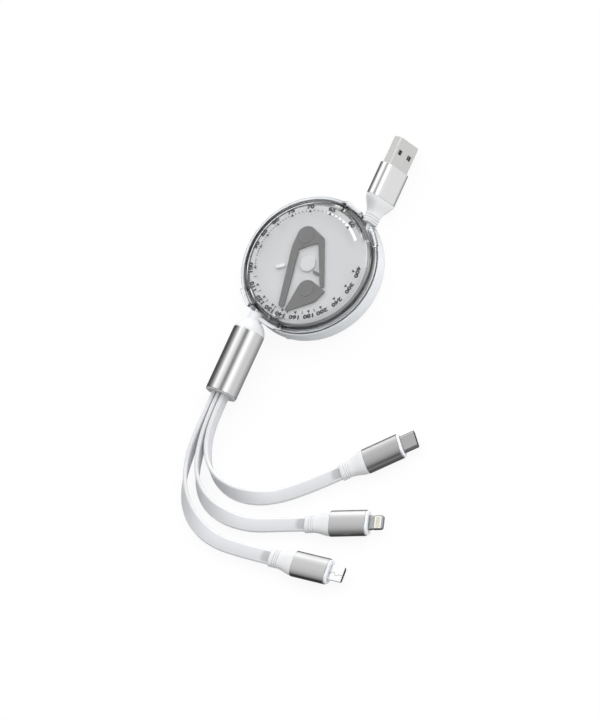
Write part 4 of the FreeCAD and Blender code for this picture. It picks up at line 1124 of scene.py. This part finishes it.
class CHARGECABLE_OT_scale(bpy.types.Operator):
    """Printed numbers, triangles and ticks on the lens"""
    bl_idname = "charge_cable.scale"
    bl_label = "Scale"

    def execute(self, context):
        sizes = context.scene.charge_reel
        thin = sizes.ink_thickness
        height = REEL_TOP + thin / 2
        stretch = Matrix.Diagonal((NUMBER_STRETCH, 1.0, 1.0, 1.0))
        pieces = []
        for number in SCALE_NUMBERS:
            place = scale_place(number, sizes.number_radius, height) @ stretch
            pieces.append(printed(str(number), sizes.number_size, place, thin))
            place = scale_place(number, sizes.mark_radius, height)
            pieces.append(mark(*TRIANGLE, place, thin))
        for numbers, length in ((FINE_TICKS, FINE_LENGTH), (COARSE_TICKS, COARSE_LENGTH)):
            for number in numbers:
                place = scale_place(number, sizes.mark_radius, height)
                pieces.append(mark(TICK_WIDTH, length, 1.0, place, thin))
        put_down(joined(pieces, "printed_scale"), None, HOUSING, ink(), "plate_grey")
        put_down(printed_arc("printed_arc", sizes, height), None, HOUSING, white_ink(), "pale_plate")
        return {"FINISHED"}


# Stage


def floor_finish():
    """Pale floor: white where it is seen, with a soft shadow kept."""
    finish, tree, shader = new_finish("floor")
    set_sockets(shader, Base_Color=(0.9, 0.9, 0.9, 1), Roughness=0.9)
    path, glow = new_nodes(tree, "LightPath", "Emission")
    seen = reckon(tree, "MAXIMUM", path.outputs["Is Camera Ray"], path.outputs["Is Transmission Ray"])
    share = reckon(tree, "MULTIPLY", seen, FLOOR_GLOW)
    mix_shaders(tree, share, shader.outputs["BSDF"], glow.outputs["Emission"])
    return finish


def set_stops(ramp, levels):
    """Put grey levels at places from 0 to 1 along a ramp."""
    stops = ramp.color_ramp.elements
    for place, _ in levels[1:-1]:
        stops.new(place)
    for stop, (place, level) in zip(stops, levels):
        stop.position = place
        stop.color = (level, level, level, 1)


def studio_world():
    """Two broad lights with a gap between them, so that metal shows bands; white where it is seen."""
    world = bpy.data.worlds.new("studio")
    bpy.context.scene.world = world
    world.use_nodes = True
    tree = world.node_tree
    where, split, path = new_nodes(tree, "TexCoord", "SeparateXYZ", "LightPath")
    bands, sides, product, seen = new_nodes(tree, "ValToRGB", "ValToRGB", "Mix", "Mix")
    x, y, z = split.outputs
    turn = reckon(tree, "MULTIPLY", reckon(tree, "ARCTAN2", z, x), 0.5 / math.pi)
    over = reckon(tree, "MAXIMUM", reckon(tree, "SUBTRACT", y, WORLD_LEAN_FROM), 0.0)
    lean = reckon(tree, "MULTIPLY", over, 0.5 * WORLD_LEAN / math.pi)
    round_y = reckon(tree, "ADD", reckon(tree, "SUBTRACT", turn, lean), 0.5)
    along_y = reckon(tree, "MULTIPLY", reckon(tree, "ADD", y, 1.0), 0.5)
    tree.links.new(round_y, bands.inputs["Fac"])
    tree.links.new(along_y, sides.inputs["Fac"])
    set_stops(bands, [((angle + 180) / 360, level) for angle, level in WORLD_BANDS])
    set_stops(sides, [((share + 1) / 2, level) for share, level in WORLD_SIDES])
    for mix in (product, seen):
        mix.data_type = "RGBA"
    product.blend_type = "MULTIPLY"
    product.inputs["Factor"].default_value = 1.0
    seen.inputs["B"].default_value = (1, 1, 1, 1)
    wire(tree, (where, "Generated", split, "Vector"), (bands, "Color", product, "A"),
         (sides, "Color", product, "B"), (product, "Result", seen, "A"),
         (path, "Is Camera Ray", seen, "Factor"), (seen, "Result", tree.nodes["Background"], "Color"))


def soft_lamp(name, place, size, energy):
    """Square soft lamp that points at the object and isn't mirrored in it."""
    deselect()
    bpy.ops.object.light_add(type="AREA", location=place)
    lamp = bpy.context.active_object
    lamp.name = name
    lamp.data.size = size
    lamp.data.energy = energy
    lamp.visible_glossy = False
    lamp.rotation_euler = (LAMP_TARGET - Vector(place)).to_track_quat("-Z", "Y").to_euler()


def stage_camera(sizes):
    """Camera that looks down on the reel, turned about its own axis."""
    a, e = sizes.azimuth, sizes.elevation
    back = Vector((math.sin(a) * math.cos(e), -math.cos(a) * math.cos(e), math.sin(e)))
    level = Vector((math.cos(a), math.sin(a), 0))
    upright = back.cross(level)
    right = level * math.cos(sizes.roll) + upright * math.sin(sizes.roll)
    up = back.cross(right)
    middle = right * sizes.shift_right + up * sizes.shift_up
    bpy.ops.object.camera_add()
    camera = bpy.context.active_object
    turn = Matrix((right, up, back)).transposed().to_4x4()
    camera.matrix_world = Matrix.Translation(middle + back * sizes.distance) @ turn
    camera.data.lens = camera.data.sensor_width * sizes.distance / sizes.view_height
    camera.data.clip_end = 10 * sizes.distance
    return camera


class CHARGECABLE_OT_stage(bpy.types.Operator):
    """Floor, lamps and camera"""
    bl_idname = "charge_cable.stage"
    bl_label = "Stage"

    def execute(self, context):
        sizes = context.scene.charge_stage
        context.scene.view_settings.view_transform = "Standard"
        deselect()
        bpy.ops.mesh.primitive_plane_add(size=sizes.floor_size)
        floor = settle("floor", Matrix.Translation((0, 0, -FLOOR_DROP)))
        floor.data.materials.append(floor_finish())
        floor.visible_glossy = False
        studio_world()
        for name, lamp in LAMPS.items():
            soft_lamp(name, *lamp)
        context.scene.camera = stage_camera(sizes)
        return {"FINISHED"}


class CHARGECABLE_PT_sidebar(bpy.types.Panel):
    """Charging cable's pieces and stage"""
    bl_idname = "CHARGECABLE_PT_sidebar"
    bl_label = "Charging cable"
    bl_space_type = "VIEW_3D"
    bl_region_type = "UI"
    bl_category = "Charging cable"

    def draw(self, context):
        for operator in OPERATORS:
            self.layout.operator(operator.bl_idname)


GROUPS = {
    "charge_reel": ChargeCableReel,
    "charge_plugs": ChargeCablePlugs,
    "charge_cords": ChargeCableCords,
    "charge_finishes": ChargeCableFinishes,
    "charge_stage": ChargeCableStage,
}
OPERATORS = (
    CHARGECABLE_OT_stage,
    CHARGECABLE_OT_reel,
    CHARGECABLE_OT_scale,
    CHARGECABLE_OT_host_plug,
    CHARGECABLE_OT_splitter,
    CHARGECABLE_OT_tail_plugs,
    CHARGECABLE_OT_leads,
    CHARGECABLE_OT_tails,
)


def register():
    for made in (*GROUPS.values(), *OPERATORS, CHARGECABLE_PT_sidebar):
        bpy.utils.register_class(made)
    for name, group in GROUPS.items():
        setattr(bpy.types.Scene, name, PointerProperty(type=group))


def unregister():
    for name in GROUPS:
        delattr(bpy.types.Scene, name)
    for made in reversed((*GROUPS.values(), *OPERATORS, CHARGECABLE_PT_sidebar)):
        bpy.utils.unregister_class(made)


def main():
    register()
    bpy.ops.charge_cable.stage()
    bpy.ops.charge_cable.reel()
    bpy.ops.charge_cable.scale()
    bpy.ops.charge_cable.host_plug()
    bpy.ops.charge_cable.splitter()
    bpy.ops.charge_cable.tail_plugs()
    bpy.ops.charge_cable.leads()
    bpy.ops.charge_cable.tails()


if __name__ == "__main__":
    main()
